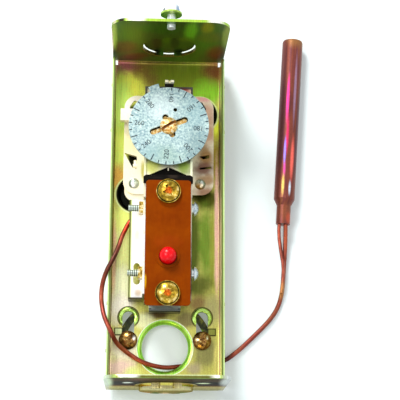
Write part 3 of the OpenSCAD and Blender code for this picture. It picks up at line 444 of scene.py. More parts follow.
# Coined rings are painted lime round the spud hole and the slots' upper ends; the spud ring's outer edge
# carries a painted highlight, and the groove round each slot end is painted darker as shade.
ring = from_axis(tree, x_mm, y_mm, SPUD_MM)
lime_ring = ramp(tree, wander, [(0.3, "#6EB428"), (0.5, "#9CD848"), (0.7, "#C4EE74")])
film = mix(tree, within(tree, ring, *SPUD_RING_MM, 0.12), film, lime_ring)
film = mix(tree, within(tree, ring, SPUD_RING_MM[1] - 0.1, SPUD_RING_MM[1] + 0.25, 0.12), film, "#F4FFDC")
ring = from_axis(tree, side, y_mm, SLOT_MM)
upper = above(tree, y_mm, 7.5, 10.5)
film = mix(tree, both_of(tree, upper, within(tree, ring, *SLOT_GROOVE_MM)), film, "#5C5A2A")
film = mix(tree, both_of(tree, upper, within(tree, ring, *SLOT_RIM_MM)), film,
           ramp(tree, speckle, [(0.3, "#98C838"), (0.7, "#D4F48C")]))

# Half-sheared stops beside the slots, each a face with a painted shade line round its sheared edge; the left
# stop's face is paler than the right's.
stop_edge_shade = both_of(tree, within(tree, side, 18.3, 22.1, 0.1), within(tree, y_mm, 5.1, 8.5, 0.1))
stop_face = both_of(tree, within(tree, side, 18.8, 21.6, 0.1), within(tree, y_mm, 5.6, 8.0, 0.1))
film = mix(tree, stop_edge_shade, film, "#4E4A1E")
film = mix(tree, stop_face, film, mix(tree, above(tree, x_mm, -1.0, 1.0), "#D4E0A0", "#8C9040"))

# The side walls: cream on their inner faces; along the rim a dark green line of painted shade, and a painted
# highlight on the outer edge.
inner_wall = ramp(tree, maths(tree, "DIVIDE", z_mm, WALL_TOP_MM), [
    (0.05, "#E8C0A0"), (0.20, "#F4F0C4"), (0.55, "#E8EEA8"), (0.80, "#C0CC78"), (0.98, "#8A9A4C")])
inner_wall = lay(tree, place, inner_wall, (
    ("#D0AC58", (24, 125, 5), (4, 9, 20), 0.9),
    ("#A0A028", (-24, 60, 5), (3, 90, 20), 0.9),
    ("#A08868", (-24, 2, 5), (3, 24, 20), 0.7)), 0.3, wander)
wall = both_of(tree, above(tree, side, WALL_IN_MM - 0.5, WALL_IN_MM),
               above(tree, y_mm, UPPER_FLANGE_Y_MM, UPPER_FLANGE_Y_MM - 1.0))
film = mix(tree, wall, film, inner_wall)
rim = both_of(tree, above(tree, z_mm, WALL_TOP_MM - 0.15, WALL_TOP_MM - 0.05),
              above(tree, z_mm, WALL_TOP_MM + 1.0, WALL_TOP_MM + 0.4),
              above(tree, side, WALL_IN_MM - 0.3, WALL_IN_MM))
film = mix(tree, rim, film, mix(tree, above(tree, side, 24.35, 24.6), "#66782E", "#D4F09C"))

# The top flange mirrors the dark room and the case's own floor; its edges catch the light.
flange_film = lay(tree, place, "#46681C", (
    ("#507113", (-17, 130, 38), (11, 60, 11), 0.9),
    ("#3E7A0C", (-5, 130, 42), (12, 60, 9), 0.9),
    ("#88D828", (8.4, 130, 40), (4.0, 60, 15), 0.95),
    ("#A49A10", (15.4, 130, 44), (3.6, 60, 10), 0.85),
    ("#64641E", (17, 130, 33), (8, 60, 9), 0.9),
    ("#5C2E18", (-20, 130, 19), (9, 60, 12), 0.95),
    ("#70401E", (-15, 130, 8), (9, 60, 7), 0.9),
    ("#744018", (21, 130, 15), (6, 60, 12), 0.95),
    ("#3A2F0F", (-5.4, 130, 22), (3.4, 60, 14), 0.85),
    ("#628A14", (-1.4, 130, 27), (3, 60, 9), 0.8),
    ("#182D11", (2.5, 130, 22), (2.8, 60, 14), 0.85),
    ("#6A8416", (7, 130, 28), (5, 60, 7), 0.8),
    ("#40762A", (0, 130, 5), (16, 60, 6), 0.9),
    ("#141A0A", (-5.7, 130, 11), (2.6, 60, 3), 0.9),
    ("#141A0A", (4.0, 130, 12), (3.2, 60, 3), 0.9),
    ("#A8B840", (-23.9, 130, 32), (1.8, 60, 22), 0.95),
    ("#F0C8B8", (-25, 130, 26), (0.7, 60, 20), 0.8),
    ("#9CAA34", (24, 130, 36), (2.6, 60, 18), 0.95)), 0.25, wander)
at_top = both_of(tree, above(tree, y_mm, UPPER_FLANGE_Y_MM - 2.0, UPPER_FLANGE_Y_MM),
                 above(tree, z_mm, 1.4, 2.2))
film = mix(tree, at_top, film, flange_film)
ring = from_axis(tree, x_mm, z_mm, KNOCKOUT_MM)
knockout_edge = both_of(tree, at_top, within(tree, ring, *KNOCKOUT_EDGE_MM, 0.1), above(tree, z_mm, 20.0, 16.0))
film = mix(tree, knockout_edge, film, "#8A7430")
# Painted highlight: cream along the fold at the floor's top.
top_fold_highlight = both_of(tree, above(tree, y_mm, UPPER_FLANGE_Y_MM + 0.3, UPPER_FLANGE_Y_MM + 0.7),
                   within(tree, z_mm, 0.5, 2.0, 0.2))
film = mix(tree, top_fold_highlight, film, ramp(tree, wander, [(0.35, "#FFF0C8"), (0.5, "#E4EC98"), (0.65, "#FFECD0")]))
front_edge = both_of(tree, above(tree, facing[2], 0.3, 0.7), above(tree, z_mm, 38.0, 42.0),
                     above(tree, y_mm, 100.0, 110.0))
film = mix(tree, front_edge, film, lay(tree, place, "#A8CC48", (
    ("#FFFFFA", (-14.5, 130, 49), (5, 60, 4), 1.0),
    ("#2C2A1A", (-20.5, 130, 48), (2.4, 60, 4), 1.0),
    ("#FFFFF6", (18.5, 130, 49), (4.6, 60, 5), 1.0),
    ("#F0D0C0", (-24, 130, 45), (2, 60, 4), 0.9)), 0.2, wander))

# The bottom flange's outer face mirrors the room in bands: brown, black with bright spots, maroon, cream.
wavy = maths(tree, "ADD", z_mm, maths(tree, "MULTIPLY_ADD", wander, 4.0, -2.0))
banded = ramp(tree, maths(tree, "DIVIDE", wavy, FLANGE_TOP_MM), [
    (0.02, "#B8B488"), (0.28, "#D8CC98"), (0.36, "#B49C5C"), (0.40, "#5C2404"), (0.47, "#40240A"),
    (0.52, "#0A0A04"), (0.66, "#1E1C08"), (0.76, "#6A5028"), (0.92, "#5C4C20"), (0.98, "#B4CC70")])
banded = lay(tree, place, banded, (
    ("#FAFFF4", (-15.9, -17, 30.5), (3.6, 60, 3.6), 1.0),
    ("#DCE8C8", (-4, -17, 30), (6, 60, 2.4), 0.9),
    ("#F0E890", (2.8, -17, 29), (3.2, 60, 3), 0.9),
    ("#F4FFDC", (14.9, -17, 29.5), (4.2, 60, 3.2), 1.0),
    ("#96705C", (-11, -17, 44), (8, 60, 5), 0.7),
    ("#0C0C06", (-19, -17, 31), (2.2, 60, 7), 1.0),
    ("#DCE8CC", (-24.2, -17, 34), (3.8, 60, 30), 1.0),
    ("#E4E8E4", (24.2, -17, 38), (4.4, 60, 26), 1.0)), 0.15, wander)
# The knockout disc, gold and olive, with painted highlights in cream and pink-white.
disc = lay(tree, place, "#A8963C", (
    ("#E8E0B0", (0, -20, 27), (30, 20, 7), 0.95),
    ("#F4D8AC", (0, -20, 10), (2.2, 20, 6), 1.0),
    ("#C89C3C", (-8, -20, 12), (3.4, 20, 8), 0.9),
    ("#6C8A24", (-4, -20, 11), (2.2, 20, 6), 0.9),
    ("#8C9428", (7, -20, 12), (4, 20, 8), 0.9)), 0.2, wander)
beyond_floor = above(tree, y_mm, LOWER_FLANGE_Y_MM + 0.4, LOWER_FLANGE_Y_MM)
banded = mix(tree, both_of(tree, beyond_floor, above(tree, ring, 13.2, 12.8), above(tree, z_mm, 33.5, 32.5)),
             banded, disc)
at_bottom = both_of(tree, beyond_floor, above(tree, z_mm, 0.6, 1.4))
film = mix(tree, at_bottom, film, banded)
# The bottom flange's front edge: painted light on its inner half and painted shade on its outer, with painted
# highlights near both ends.
low_edge = both_of(tree, above(tree, y_mm, -13.0, -14.0),
                   above(tree, z_mm, FLANGE_TOP_MM - 0.8, FLANGE_TOP_MM - 0.4))
lit_and_shaded_edge = mix(tree, above(tree, y_mm, -14.9, -15.4), "#D8E4A8", "#6C6C30")
film = mix(tree, low_edge, film, lay(tree, place, lit_and_shaded_edge, (
    ("#FFFFFA", (-15, -16, 50), (5, 60, 4), 1.0),
    ("#FFFFF0", (20, -16, 50), (4.5, 60, 4), 0.9)), 0.2, wander))

# Brushing and the speckle of the film; the walls' inner faces are duller than the rest.
film = shade(tree, film, brushed, 0.84, 1.14)
hue = add(tree, "ShaderNodeMapRange", {
    "Value": speckle, "From Min": 0.3, "From Max": 0.7, "To Min": 0.48, "To Max": 0.52}).outputs[0]
film = add(tree, "ShaderNodeHueSaturation", {"Color": film, "Hue": hue}).outputs["Color"]
paint(tree, shader, shade(tree, film, speckle, 0.90, 1.10))
tree.links.new(mix(tree, at_bottom, "#FFFFFF", banded), shader.inputs["Specular Tint"])
roughen(tree, shader, brushed, 0.10)
set_gloss(shader, 0.82, 0.32)
dull = add(tree, "ShaderNodeMapRange", {"Value": wall, "To Min": 0.82, "To Max": 0.20}).outputs[0]
tree.links.new(dull, shader.inputs["Metallic"])
finish_node("case_back", chromate)

# ---- Retainer clamp and its screws ----
# Steel arch behind the back, zinc plated and chromated dark olive, with two pan-head screws
# that are chromated to a bronze tone.
CLAMP_SCREW_MM = (16.0, 3.0)
bronze, tree, shader, place = new_material("bronze_chromated_zinc")
x_mm, y_mm = split(tree, place)[:2]
skin = ramp(tree, noise(tree, place, 1.3), [
    (0.34, "#5A3A1C"), (0.46, "#8E6430"), (0.56, "#AC8440"), (0.70, "#E8CC84")])
ring = from_axis(tree, size_of(tree, x_mm), y_mm, CLAMP_SCREW_MM)
# Painted shade darkens the heads towards their rims; over them lie painted highlights in white and cream, and a
# painted shade under the left head.
skin = mix(tree, above(tree, ring, 2.6, 3.8), skin, mix(tree, 0.6, skin, "#6A4420"))
skin = lay(tree, place, skin, (
    ("#FFFDF0", (-13.4, 4, 3), (1.0, 1.6, 4), 1.0),
    ("#F8E4A8", (13.6, 3.4, 3), (0.9, 1.2, 4), 0.9),
    ("#F4F0D0", (18.2, 4.2, 3), (0.6, 1.3, 4), 0.9),
    ("#2E3A1C", (-15.6, -0.4, 2), (2.6, 1.0, 4), 0.8)))
paint(tree, shader, skin)
set_gloss(shader, 0.8, 0.24)
finish_node("clamp_screws", bronze)

dark_olive, tree, shader, place = new_material("olive_chromated_zinc")
# The arch is painted dark olive, deepened as painted shade behind the back, and its pale patches are painted
# light falling through the keyhole slots.
skin = ramp(tree, noise(tree, place, 2.2), [
    (0.32, "#181C0E"), (0.48, "#2A3018"), (0.60, "#4A4A20"), (0.72, "#7A7A30")])
skin = lay(tree, place, skin, (
    ("#A8D8B8", (-14.4, 6.4, -2.4), (2.4, 1.4, 4), 0.9),
    ("#9CD040", (15.4, 7.2, -2.4), (1.6, 1.6, 4), 0.9)))
paint(tree, shader, skin)
set_gloss(shader, 0.7, 0.34)
finish_node("retainer_clamp", dark_olive)

# ---- Base plate, mechanism frame, lever and rivets ----
# Zinc-plated steel pressings with a thin chromate: cream and silver on the left, pink and tan on the
# right. The two ears are riveted down to the base plate.
pale_plate, tree, shader, place = new_material("pale_chromated_zinc")
x_mm, y_mm, z_mm = split(tree, place)
side = size_of(tree, x_mm)
wander = noise(tree, place, 5.0)
# Among the film's tones: a dark strip at X 10.2 mm is the switch card's painted shadow, and a pale line at Y
# 75.5 mm a painted highlight on the right wall's top.
film = lay(tree, place, "#F4ECD0", (
    ("#FBF3E6", (-17, 105, 7), (7, 9, 14), 0.9),
    ("#F0DC84", (-14.5, 99, 6), (2.4, 3, 3), 0.8),
    ("#F6E8B0", (-17, 90, 6), (7, 9, 12), 0.9),
    ("#B8B048", (-10.6, 77, 5), (1.8, 7, 8), 0.9),
    ("#E8A8A0", (15.5, 111, 6), (8, 3, 10), 0.95),
    ("#D8AC90", (18, 104, 6), (5, 7, 10), 0.9),
    ("#CFA07C", (18, 95, 6), (5, 9, 10), 0.95),
    ("#A8804C", (17, 84, 6), (6, 8, 10), 1.0),
    ("#7A5240", (16, 78, 6), (7, 5, 10), 0.95),
    ("#A67E50", (17, 73, 6), (6, 4, 8), 0.9),
    ("#A87C5C", (17, 67.5, 6), (7, 4, 8), 0.95),
    ("#FFF0C8", (-18.5, 68, 6), (4, 5, 8), 0.8),
    ("#DCE070", (-6.5, 75.5, 21), (6, 6, 5), 0.95),
    ("#90AC38", (6.5, 75.5, 21), (5, 6, 5), 0.95),
    ("#B83C38", (5.5, 109, 21), (5, 3, 5), 0.9),
    ("#F4FAD4", (9.9, 75.5, 23), (1.3, 6, 1.2), 1.0),
    ("#44240C", (10.2, 28, 14), (1.8, 30, 14), 1.0)), 0.35, wander)
# The recess under the dial lies in its shade; the upper end's edge is painted black as shade, and painted shade
# darkens the frame's foot from pink to brown towards the switch.
shadowed = both_of(tree, above(tree, z_mm, 23.0, 22.4), above(tree, z_mm, 18.0, 19.0),
                   above(tree, side, 11.0, 9.6), above(tree, y_mm, 76.2, 78.8), above(tree, y_mm, 106.5, 103.5))
film = mix(tree, shadowed, film, "#4A4420")
upper_edge_shade = both_of(tree, above(tree, y_mm, 106.5, 107.5), within(tree, z_mm, 22.8, 27.1, 0.3))
film = mix(tree, upper_edge_shade, film, "#15120E")
low_part = both_of(tree, above(tree, z_mm, 3.6, 2.8), above(tree, y_mm, 70.0, 60.0))
foot_tone_and_shade = ramp(tree, above(tree, y_mm, 62.0, 59.0), [(0.1, "#B08478"), (0.9, "#4A3024")])
film = mix(tree, low_part, film, foot_tone_and_shade)
paint(tree, shader, shade(tree, film, noise(tree, place, 0.8), 0.93, 1.06))
roughen(tree, shader, noise(tree, place, 0.7, 2.0), 0.08)
set_gloss(shader, 0.5, 0.34)
for name in ("mechanism_frame", "base_plate", "operating_lever"):
    finish_node(name, pale_plate)

rivet_steel, tree, shader, place = new_material("headed_rivet_steel")
# The left rivet's head carries a painted highlight and painted shade; the right one is gold-brown with a dark
# side of painted shade and a cream painted highlight.
skin = lay(tree, place, "#C0CCC4", (
    ("#FFFFFF", (-14.9, 70.0, 8), (1.5, 1.6, 4), 1.0),
    ("#3A5A44", (-16.8, 69.2, 8), (1.5, 1.6, 4), 1.0),
    ("#B8A840", (-16.0, 67.3, 8), (2.2, 1.0, 4), 0.8),
    ("#A07838", (13.8, 68.8, 8), (4, 4, 6), 1.0),
    ("#3A3A14", (12.6, 68.0, 8), (1.4, 1.6, 4), 0.9),
    ("#F4E4C0", (15.0, 70.2, 8), (0.9, 1.0, 4), 0.9)))
paint(tree, shader, skin)
roughen(tree, shader, noise(tree, place, 0.5), 0.08)
set_gloss(shader, 0.8, 0.26)
finish_node("ear_rivets", rivet_steel)

# ---- Element, springs and adjusting screw ----
# Drawn and turned brass for the capsule, its nut, the spring cap and the screw; steel wire for the
# springs and the lever's ground pin.
turned_brass, tree, shader, place = new_material("turned_brass")
skin = ramp(tree, noise(tree, place, 1.6), [
    (0.32, "#9C6428"), (0.46, "#C88C3C"), (0.58, "#E8BC68"), (0.72, "#FFEDB8")])
paint(tree, shader, skin)
roughen(tree, shader, noise(tree, place, 0.4, 2.0, 0.6, (6, 6, 1)), 0.08)
set_gloss(shader, 0.75, 0.30)
for name in ("power_element", "element_nut", "spring_cap", "adjusting_screw"):
    finish_node(name, turned_brass)

spring_steel, tree, shader, place = new_material("oiled_spring_steel")
skin = ramp(tree, noise(tree, place, 1.5), [(0.32, "#5C6468"), (0.50, "#8E989C"), (0.70, "#C8D0D4")])
paint(tree, shader, skin)
roughen(tree, shader, noise(tree, place, 0.4, 2.0), 0.06)
set_gloss(shader, 0.85, 0.30)
for name in ("lever_pin", "range_spring", "reset_spring"):
    finish_node(name, spring_steel)

# Each spring stands on a fixed seat and gets a mesh of its own.
for name, joint, seat, keep in (("range_spring", "lever_pivot", (0, 0.0922, 0.0182), 0.84),
                                ("reset_spring", "reset_press", (0, 0.0350, 0.0175), 0.78)):
    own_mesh(nodes[name])

# ---- Dial hub ----
# Bright brass casting: four arms lie in the dial's cross, under a dome with a driver slot.
DIAL_CENTRE = (0.0, 0.0922)
SLOT_TURN = math.radians(-31)
hub_brass, tree, shader, place = new_material("bright_cast_brass")
z_mm = split(tree, place)[2]
skin = ramp(tree, noise(tree, place, 1.1), [
    (0.34, "#B87C34"), (0.46, "#E0AC58"), (0.54, "#F8D488"), (0.64, "#FFF8DC")])
to_centre = (0, -1000 * DIAL_CENTRE[1], 0)
centred = add(tree, "ShaderNodeMapping", {"Vector": place, "Location": to_centre}).outputs[0]
turned = add(tree, "ShaderNodeMapping", {"Vector": centred, "Rotation": (0, 0, SLOT_TURN)}).outputs[0]
across = size_of(tree, split(tree, turned)[1])
# The driver slot is painted darker brown as painted shade.
driver_slot = both_of(tree, above(tree, across, 0.75, 0.5), above(tree, z_mm, 26.2, 26.5))
skin = mix(tree, driver_slot, skin, "#8A5418")
paint(tree, shader, skin)
roughen(tree, shader, noise(tree, place, 0.6), 0.10)
set_gloss(shader, 0.7, 0.36)
finish_node("dial_hub", hub_brass)

# ---- Dial ----
# Stamped disc, zinc plated with a fine grey-blue spangle, graduated with printed lines and figures.
# The figures run along the radius, from 140 to 280, and the lines between 280 and 140 are left out.
DIAL_FACE = 0.0260
INK_THICK = 0.00004
FIGURE_RADIUS = 0.0127
FIGURE_SIZE = 0.0029
FIRST_FIGURE = 140
FIGURE_STEP = 20
FIGURES = 8
FIRST_TURN = 86.5
FIGURE_TURN = 45.1
spangled, tree, shader, place = new_material("spangled_zinc_plate")
broad = noise(tree, place, 5.0)
spangle = add(tree, "ShaderNodeTexVoronoi", {"Vector": place, "Scale": 1.3, "Randomness": 1.0})
grains = add(tree, "ShaderNodeSeparateColor", {0: spangle.outputs["Color"]}).outputs[0]
cloudy = noise(tree, place, 0.9, 3.0, 0.7)
value = add(tree, "ShaderNodeMix", {"Factor": 0.16, 2: cloudy, 3: grains}).outputs[0]
film = ramp(tree, value, [
    (0.30, "#6C8C98"), (0.43, "#94AEB2"), (0.54, "#B0C8C6"), (0.66, "#CAE0D8"), (0.78, "#ECFAF2")])
# Broad patches lay painted shade on the dial's right and a painted light patch at its upper left.
film = lay(tree, place, film, (
    ("#8CB0B4", (12, 100, 26), (9, 10, 60), 0.5),
    ("#6C8A8C", (13, 82, 26), (8, 12, 60), 0.55),
    ("#8CAC9C", (-3, 79, 26), (12, 6, 60), 0.5),
    ("#94B4BC", (-8, 80, 26), (7, 5, 60), 0.4),
    ("#E8F6F4", (-3, 100, 26), (9, 8, 60), 0.45)), 0.5, broad)
paint(tree, shader, film)
roughen(tree, shader, cloudy, 0.10)
set_gloss(shader, 0.4, 0.42)
finish_node("dial", spangled)

scale_ink, tree, shader, place = new_material("grey_black_printing_ink")
paint(tree, shader, ramp(tree, noise(tree, place, 0.5), [(0.35, "#1E262C"), (0.65, "#48545C")]))
set_gloss(shader, 0.0, 0.6, 0.2)


def lines_tree(material):
    """Geometry nodes that set short bars round a centre; every so many, one is longer."""
    group = bpy.data.node_groups.new("scale_lines", "GeometryNodeTree")
    group.interface.new_socket(name="Geometry", in_out="OUTPUT", socket_type="NodeSocketGeometry")
    names = {}
    for name, kind in (("Count", "Int"), ("First angle", "Float"), ("Step", "Float"),
                       ("Inner radius", "Float"), ("Long inner radius", "Float"), ("Outer radius", "Float"),
                       ("Width", "Float"), ("Thickness", "Float"), ("Every", "Int"), ("Offset", "Int"),
                       ("Centre", "Vector")):
        socket = group.interface.new_socket(name=name, in_out="INPUT", socket_type="NodeSocket" + kind)
        names[name] = socket.identifier
    given = add(group, "NodeGroupInput").outputs
    points = add(group, "GeometryNodePoints", {"Count": given["Count"], "Position": given["Centre"]})
    number = add(group, "GeometryNodeInputIndex").outputs[0]
    turn = maths(group, "MULTIPLY_ADD", number, given["Step"], given["First angle"])
    spin = add(group, "FunctionNodeEulerToRotation",
               {0: add(group, "ShaderNodeCombineXYZ", {2: turn}).outputs[0]}).outputs[0]
    place_in_run = maths(group, "MODULO", number, given["Every"])
    chosen = add(group, "FunctionNodeCompare", {"A": place_in_run, "B": given["Offset"]}, data_type="FLOAT",
                 operation="EQUAL").outputs[0]
    others = add(group, "FunctionNodeBooleanMath", {0: chosen}, operation="NOT").outputs[0]
    join = add(group, "GeometryNodeJoinGeometry")
    for which, inner in ((others, "Inner radius"), (chosen, "Long inner radius")):
        length = maths(group, "SUBTRACT", given["Outer radius"], given[inner])
        total = maths(group, "ADD", given["Outer radius"], given[inner])
        middle = add(group, "ShaderNodeCombineXYZ", {0: maths(group, "MULTIPLY", total, 0.5)}).outputs[0]
        size = add(group, "ShaderNodeCombineXYZ", {0: length, 1: given["Width"], 2: given["Thickness"]})
        bar = add(group, "GeometryNodeMeshCube", {"Size": size.outputs[0]}).outputs[0]
        moved = add(group, "GeometryNodeTransform", {"Geometry": bar, "Translation": middle}).outputs[0]
        set_round = add(group, "GeometryNodeInstanceOnPoints", {
            "Points": points.outputs[0], "Selection": which, "Instance": moved, "Rotation": spin}).outputs[0]
        group.links.new(set_round, join.inputs[0])
    real = add(group, "GeometryNodeRealizeInstances", {0: join.outputs[0]}).outputs[0]
    inked = add(group, "GeometryNodeSetMaterial", {"Geometry": real, "Material": material}).outputs[0]
    add(group, "NodeGroupOutput", {0: inked})
    return group, names


def plain_copy(source):
    """The finished mesh of an object, which is then removed."""
    bpy.context.scene.collection.objects.link(source)
    mesh = bpy.data.meshes.new_from_object(source.evaluated_get(bpy.context.evaluated_depsgraph_get()))
    bpy.data.objects.remove(source)
    return mesh


def grown(name, group, names, values):
    """A plain mesh object made by a geometry-nodes tree with the given inputs."""
    seed = bpy.data.objects.new(name + "_seed", bpy.data.meshes.new(name + "_seed"))
    modifier = seed.modifiers.new("maker", "NODES")
    modifier.node_group = group
    for key, value in values.items():
        modifier[names[key]] = value
    made = bpy.data.objects.new(name, plain_copy(seed))
    bpy.context.scene.collection.objects.link(made)
    return made


lines, line_inputs = lines_tree(scale_ink)
ticks = grown("dial_lines", lines, line_inputs, {
    "Count": 29, "First angle": math.radians(86.55), "Step": math.radians(-11.27), "Inner radius": 0.0158,
    "Long inner radius": 0.0141, "Outer radius": 0.0171, "Width": 0.00044, "Thickness": INK_THICK,
    "Every": 4, "Offset": 2, "Centre": (*DIAL_CENTRE, DIAL_FACE + INK_THICK / 2)})

corners, faces = [], []
for k in range(FIGURES):
    angle = math.radians(FIRST_TURN - FIGURE_TURN * k)
    writing = bpy.data.curves.new("dial_figure", "FONT")
    writing.body = str(FIRST_FIGURE + FIGURE_STEP * k)
    writing.size = FIGURE_SIZE
    writing.align_x = writing.align_y = "CENTER"
    writing.extrude = INK_THICK / 2
    flat = plain_copy(bpy.data.objects.new("dial_figure", writing))
    spot = Vector((DIAL_CENTRE[0] + FIGURE_RADIUS * math.cos(angle),
                   DIAL_CENTRE[1] + FIGURE_RADIUS * math.sin(angle), DIAL_FACE + INK_THICK / 2))
    flat.transform(Matrix.Translation(spot) @ Matrix.Rotation(angle + math.pi, 4, "Z"))
    start = len(corners)
    corners += [tuple(v.co) for v in flat.vertices]
    faces += [[start + i for i in face.vertices] for face in flat.polygons]
figure_mesh = bpy.data.meshes.new("dial_figures")
figure_mesh.from_pydata(corners, [], faces)
figure_mesh.materials.append(scale_ink)
figures = bpy.data.objects.new("dial_figures", figure_mesh)
bpy.context.scene.collection.objects.link(figures)
for piece in (ticks, figures):
    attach(piece, "dial")

# ---- Switch ----
# Black phenolic moulding closed by an orange-brown laminate card, with a red moulded reset button.
phenolic, tree, shader, place = new_material("black_phenolic")
skin = ramp(tree, noise(tree, place, 1.2), [(0.35, "#060402"), (0.60, "#0E0A06"), (0.75, "#241C16")])
skin = lay(tree, place, skin, (
    ("#3A3028", (2, 70.5, 24), (3, 2, 6), 0.6),
    ("#2C2620", (-5, 69, 24), (4, 1.5, 6), 0.5)))
paint(tree, shader, skin)
roughen(tree, shader, noise(tree, place, 0.6), 0.08)
set_gloss(shader, 0.0, 0.5, 0.06)
finish_node("switch_housing", phenolic)

card_sheet, tree, shader, place = new_material("phenolic_paper_laminate")
skin = ramp(tree, noise(tree, place, 7.0), [(0.32, "#803200"), (0.50, "#883800"), (0.68, "#903E00")])
skin = lay(tree, place, skin, (
    ("#7C3404", (2.5, 32, 30), (7, 7, 30), 0.7),
    ("#A03C08", (0, 41, 30), (8, 4, 30), 0.35),
    ("#E0A818", (-9.1, 24.5, 30), (0.6, 4, 30), 0.8),
    ("#8C3800", (9.3, 40, 30), (0.8, 40, 30), 0.6)), 0.4, noise(tree, place, 3.0))
paint(tree, shader, shade(tree, skin, noise(tree, place, 0.8, 2.0, 0.6, (1, 8, 1)), 0.96, 1.05))
roughen(tree, shader, noise(tree, place, 0.5), 0.04)
set_gloss(shader, 0.0, 0.42, 0.03)
finish_node("switch_card", card_sheet)

red_button, tree, shader, place = new_material("glossy_red_abs")
paint(tree, shader, ramp(tree, noise(tree, place, 2.5), [(0.32, "#E80008"), (0.68, "#FA0018")]))
roughen(tree, shader, noise(tree, place, 0.8), 0.03)
set_gloss(shader, 0.0, 0.26, 0.28)
finish_node("reset_button", red_button)

# ---- Terminals ----
# Two binding-head screws of plated brass in thin cups; the cups' rims stand round the heads.
TERMINALS_MIDDLE_MM = 40.9
TERMINALS_HALF_MM = 21.4
CUP_GAP_MM = (4.4, 4.85)
bright_brass, tree, shader, place = new_material("bright_brass_plate")
x_mm, y_mm = split(tree, place)[:2]
from_middle = maths(tree, "SUBTRACT", y_mm, TERMINALS_MIDDLE_MM)
ring = from_axis(tree, x_mm, size_of(tree, from_middle), (0.0, TERMINALS_HALF_MM))
skin = ramp(tree, noise(tree, place, 2.2, 2.0), [
    (0.34, "#6A5410"), (0.46, "#94781C"), (0.56, "#B89A34"), (0.68, "#F4DC90")])
skin = mix(tree, above(tree, ring, 2.0, 0.9), skin, "#D8741C")
# The gap between each head and its cup is painted dark as shade.
skin = mix(tree, within(tree, ring, *CUP_GAP_MM, 0.08), skin, "#2A1E06")
paint(tree, shader, skin)
set_gloss(shader, 0.85, 0.26)
for name in ("terminal_screws", "terminal_cups"):
    finish_node(name, bright_brass)

# ---- Side bracket, through screws, nuts and end clip ----
# Bright zinc-plated angle left of the switch, clamped with the housing and the frame by two screws and
# square nuts. A grey spring-steel clip holds the housing's lower end.
BRACKET_EDGE_MM = -15.0
BRACKET_END_MM = 20.9
THREAD_PITCH_MM = 0.8
white_plate, tree, shader, place = new_material("clear_zinc_plate")
x_mm, y_mm = split(tree, place)[:2]
film = ramp(tree, noise(tree, place, 4.0), [(0.32, "#F6EEC8"), (0.45, "#FBFAF4"), (0.70, "#FFFFFF")])
# A lime-cream line and a dark olive line of painted shade run along the bracket's left edge, and its lower end
# is painted dark as shade.
film = mix(tree, above(tree, x_mm, BRACKET_EDGE_MM, BRACKET_EDGE_MM - 0.2), film, "#DCE4A4")
film = mix(tree, above(tree, x_mm, BRACKET_EDGE_MM - 0.5, BRACKET_EDGE_MM - 0.65), film, "#646C1C")
film = mix(tree, above(tree, y_mm, BRACKET_END_MM, BRACKET_END_MM - 0.7), film, "#3A3010")
film = lay(tree, place, film, (
    ("#C89C60", (-12, 22.5, 3), (2.4, 2.4, 20), 0.6),
    ("#E8E4A0", (-13, 47, 3), (2, 4, 20), 0.5)))
paint(tree, shader, film)
roughen(tree, shader, noise(tree, place, 0.8), 0.05)
set_gloss(shader, 0.4, 0.38)
finish_node("side_bracket", white_plate)

machined_steel, tree, shader, place = new_material("zinc_plated_screw_steel")
x_mm = split(tree, place)[0]
skin = ramp(tree, noise(tree, place, 1.4), [(0.34, "#9CB0B8"), (0.48, "#C8D8DE"), (0.62, "#F4FAFC")])
# The screws' thread is painted as bands: painted highlights on the crests and painted shade in the roots.
thread = maths(tree, "PINGPONG", x_mm, THREAD_PITCH_MM / 2)
thread_light_and_shade = ramp(tree, thread, [(0.05, "#343E34"), (0.20, "#8C9C8C"), (0.34, "#E4F0E4")])
paint(tree, shader, mix(tree, above(tree, x_mm, 0.0, 5.0), thread_light_and_shade, skin))
roughen(tree, shader, noise(tree, place, 0.5), 0.05)
set_gloss(shader, 0.7, 0.28)
finish_node("through_screws", machined_steel)

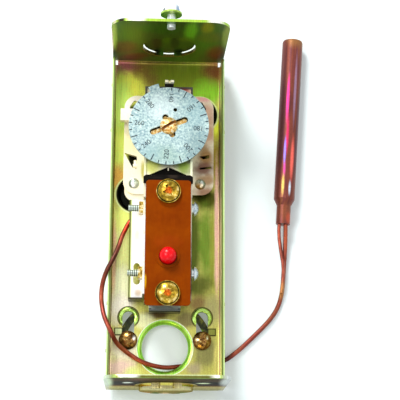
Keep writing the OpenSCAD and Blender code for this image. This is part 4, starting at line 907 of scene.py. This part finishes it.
gold_chromate, tree, shader, place = new_material("gold_chromated_zinc")
skin = ramp(tree, noise(tree, place, 1.0), [
    (0.34, "#5C4410"), (0.46, "#A8842C"), (0.56, "#DCC060"), (0.68, "#FFF6DC")])
paint(tree, shader, skin)
set_gloss(shader, 0.7, 0.28)
finish_node("square_nuts", gold_chromate)

grey_clip, tree, shader, place = new_material("phosphated_spring_steel")
y_mm = split(tree, place)[1]
# Bands across the clip paint its rolled edge's light and shade: light lines at top and bottom, dark between.
up = add(tree, "ShaderNodeMapRange", {"Value": y_mm, "From Min": 13.4, "From Max": 17.0}).outputs[0]
skin = ramp(tree, up, [
    (0.16, "#D4DCD8"), (0.28, "#101410"), (0.44, "#1A1E18"), (0.56, "#8C9490"), (0.70, "#2A2E28"),
    (0.84, "#D0D8D4")])
paint(tree, shader, skin)
roughen(tree, shader, noise(tree, place, 0.4), 0.06)
set_gloss(shader, 0.6, 0.36)
finish_node("end_clip", grey_clip)

# ---- Cover screw and washer ----
# Slotted hexagon-head screw, clear zinc plated, which stands loose in the top flange over a washer
# with an olive-green chromate.
cover_steel, tree, shader, place = new_material("clear_zinc_hexagon_steel")
skin = ramp(tree, noise(tree, place, 1.6), [(0.34, "#DCE6EE"), (0.50, "#F2F6FA"), (0.66, "#FFFFFF")])
# A painted blue reflection lies on the head's right; a dark spot lies on its left and a greyer lower part
# below.
skin = lay(tree, place, skin, (
    ("#7890B8", (2.6, 136.5, 46), (1.4, 2.4, 5), 0.9),
    ("#2C3434", (-3.0, 136.5, 46.5), (0.8, 0.9, 3), 0.9),
    ("#8C9CA8", (0, 131, 46), (3, 3, 2), 0.5)))
paint(tree, shader, skin)
set_gloss(shader, 0.6, 0.28)
finish_node("cover_screw", cover_steel)

olive_washer, tree, shader, place = new_material("olive_green_chromate")
skin = ramp(tree, noise(tree, place, 1.5), [(0.34, "#86A444"), (0.50, "#A8C850"), (0.66, "#CCE084")])
paint(tree, shader, skin)
set_gloss(shader, 0.6, 0.32)
finish_node("cover_screw_washer", olive_washer)
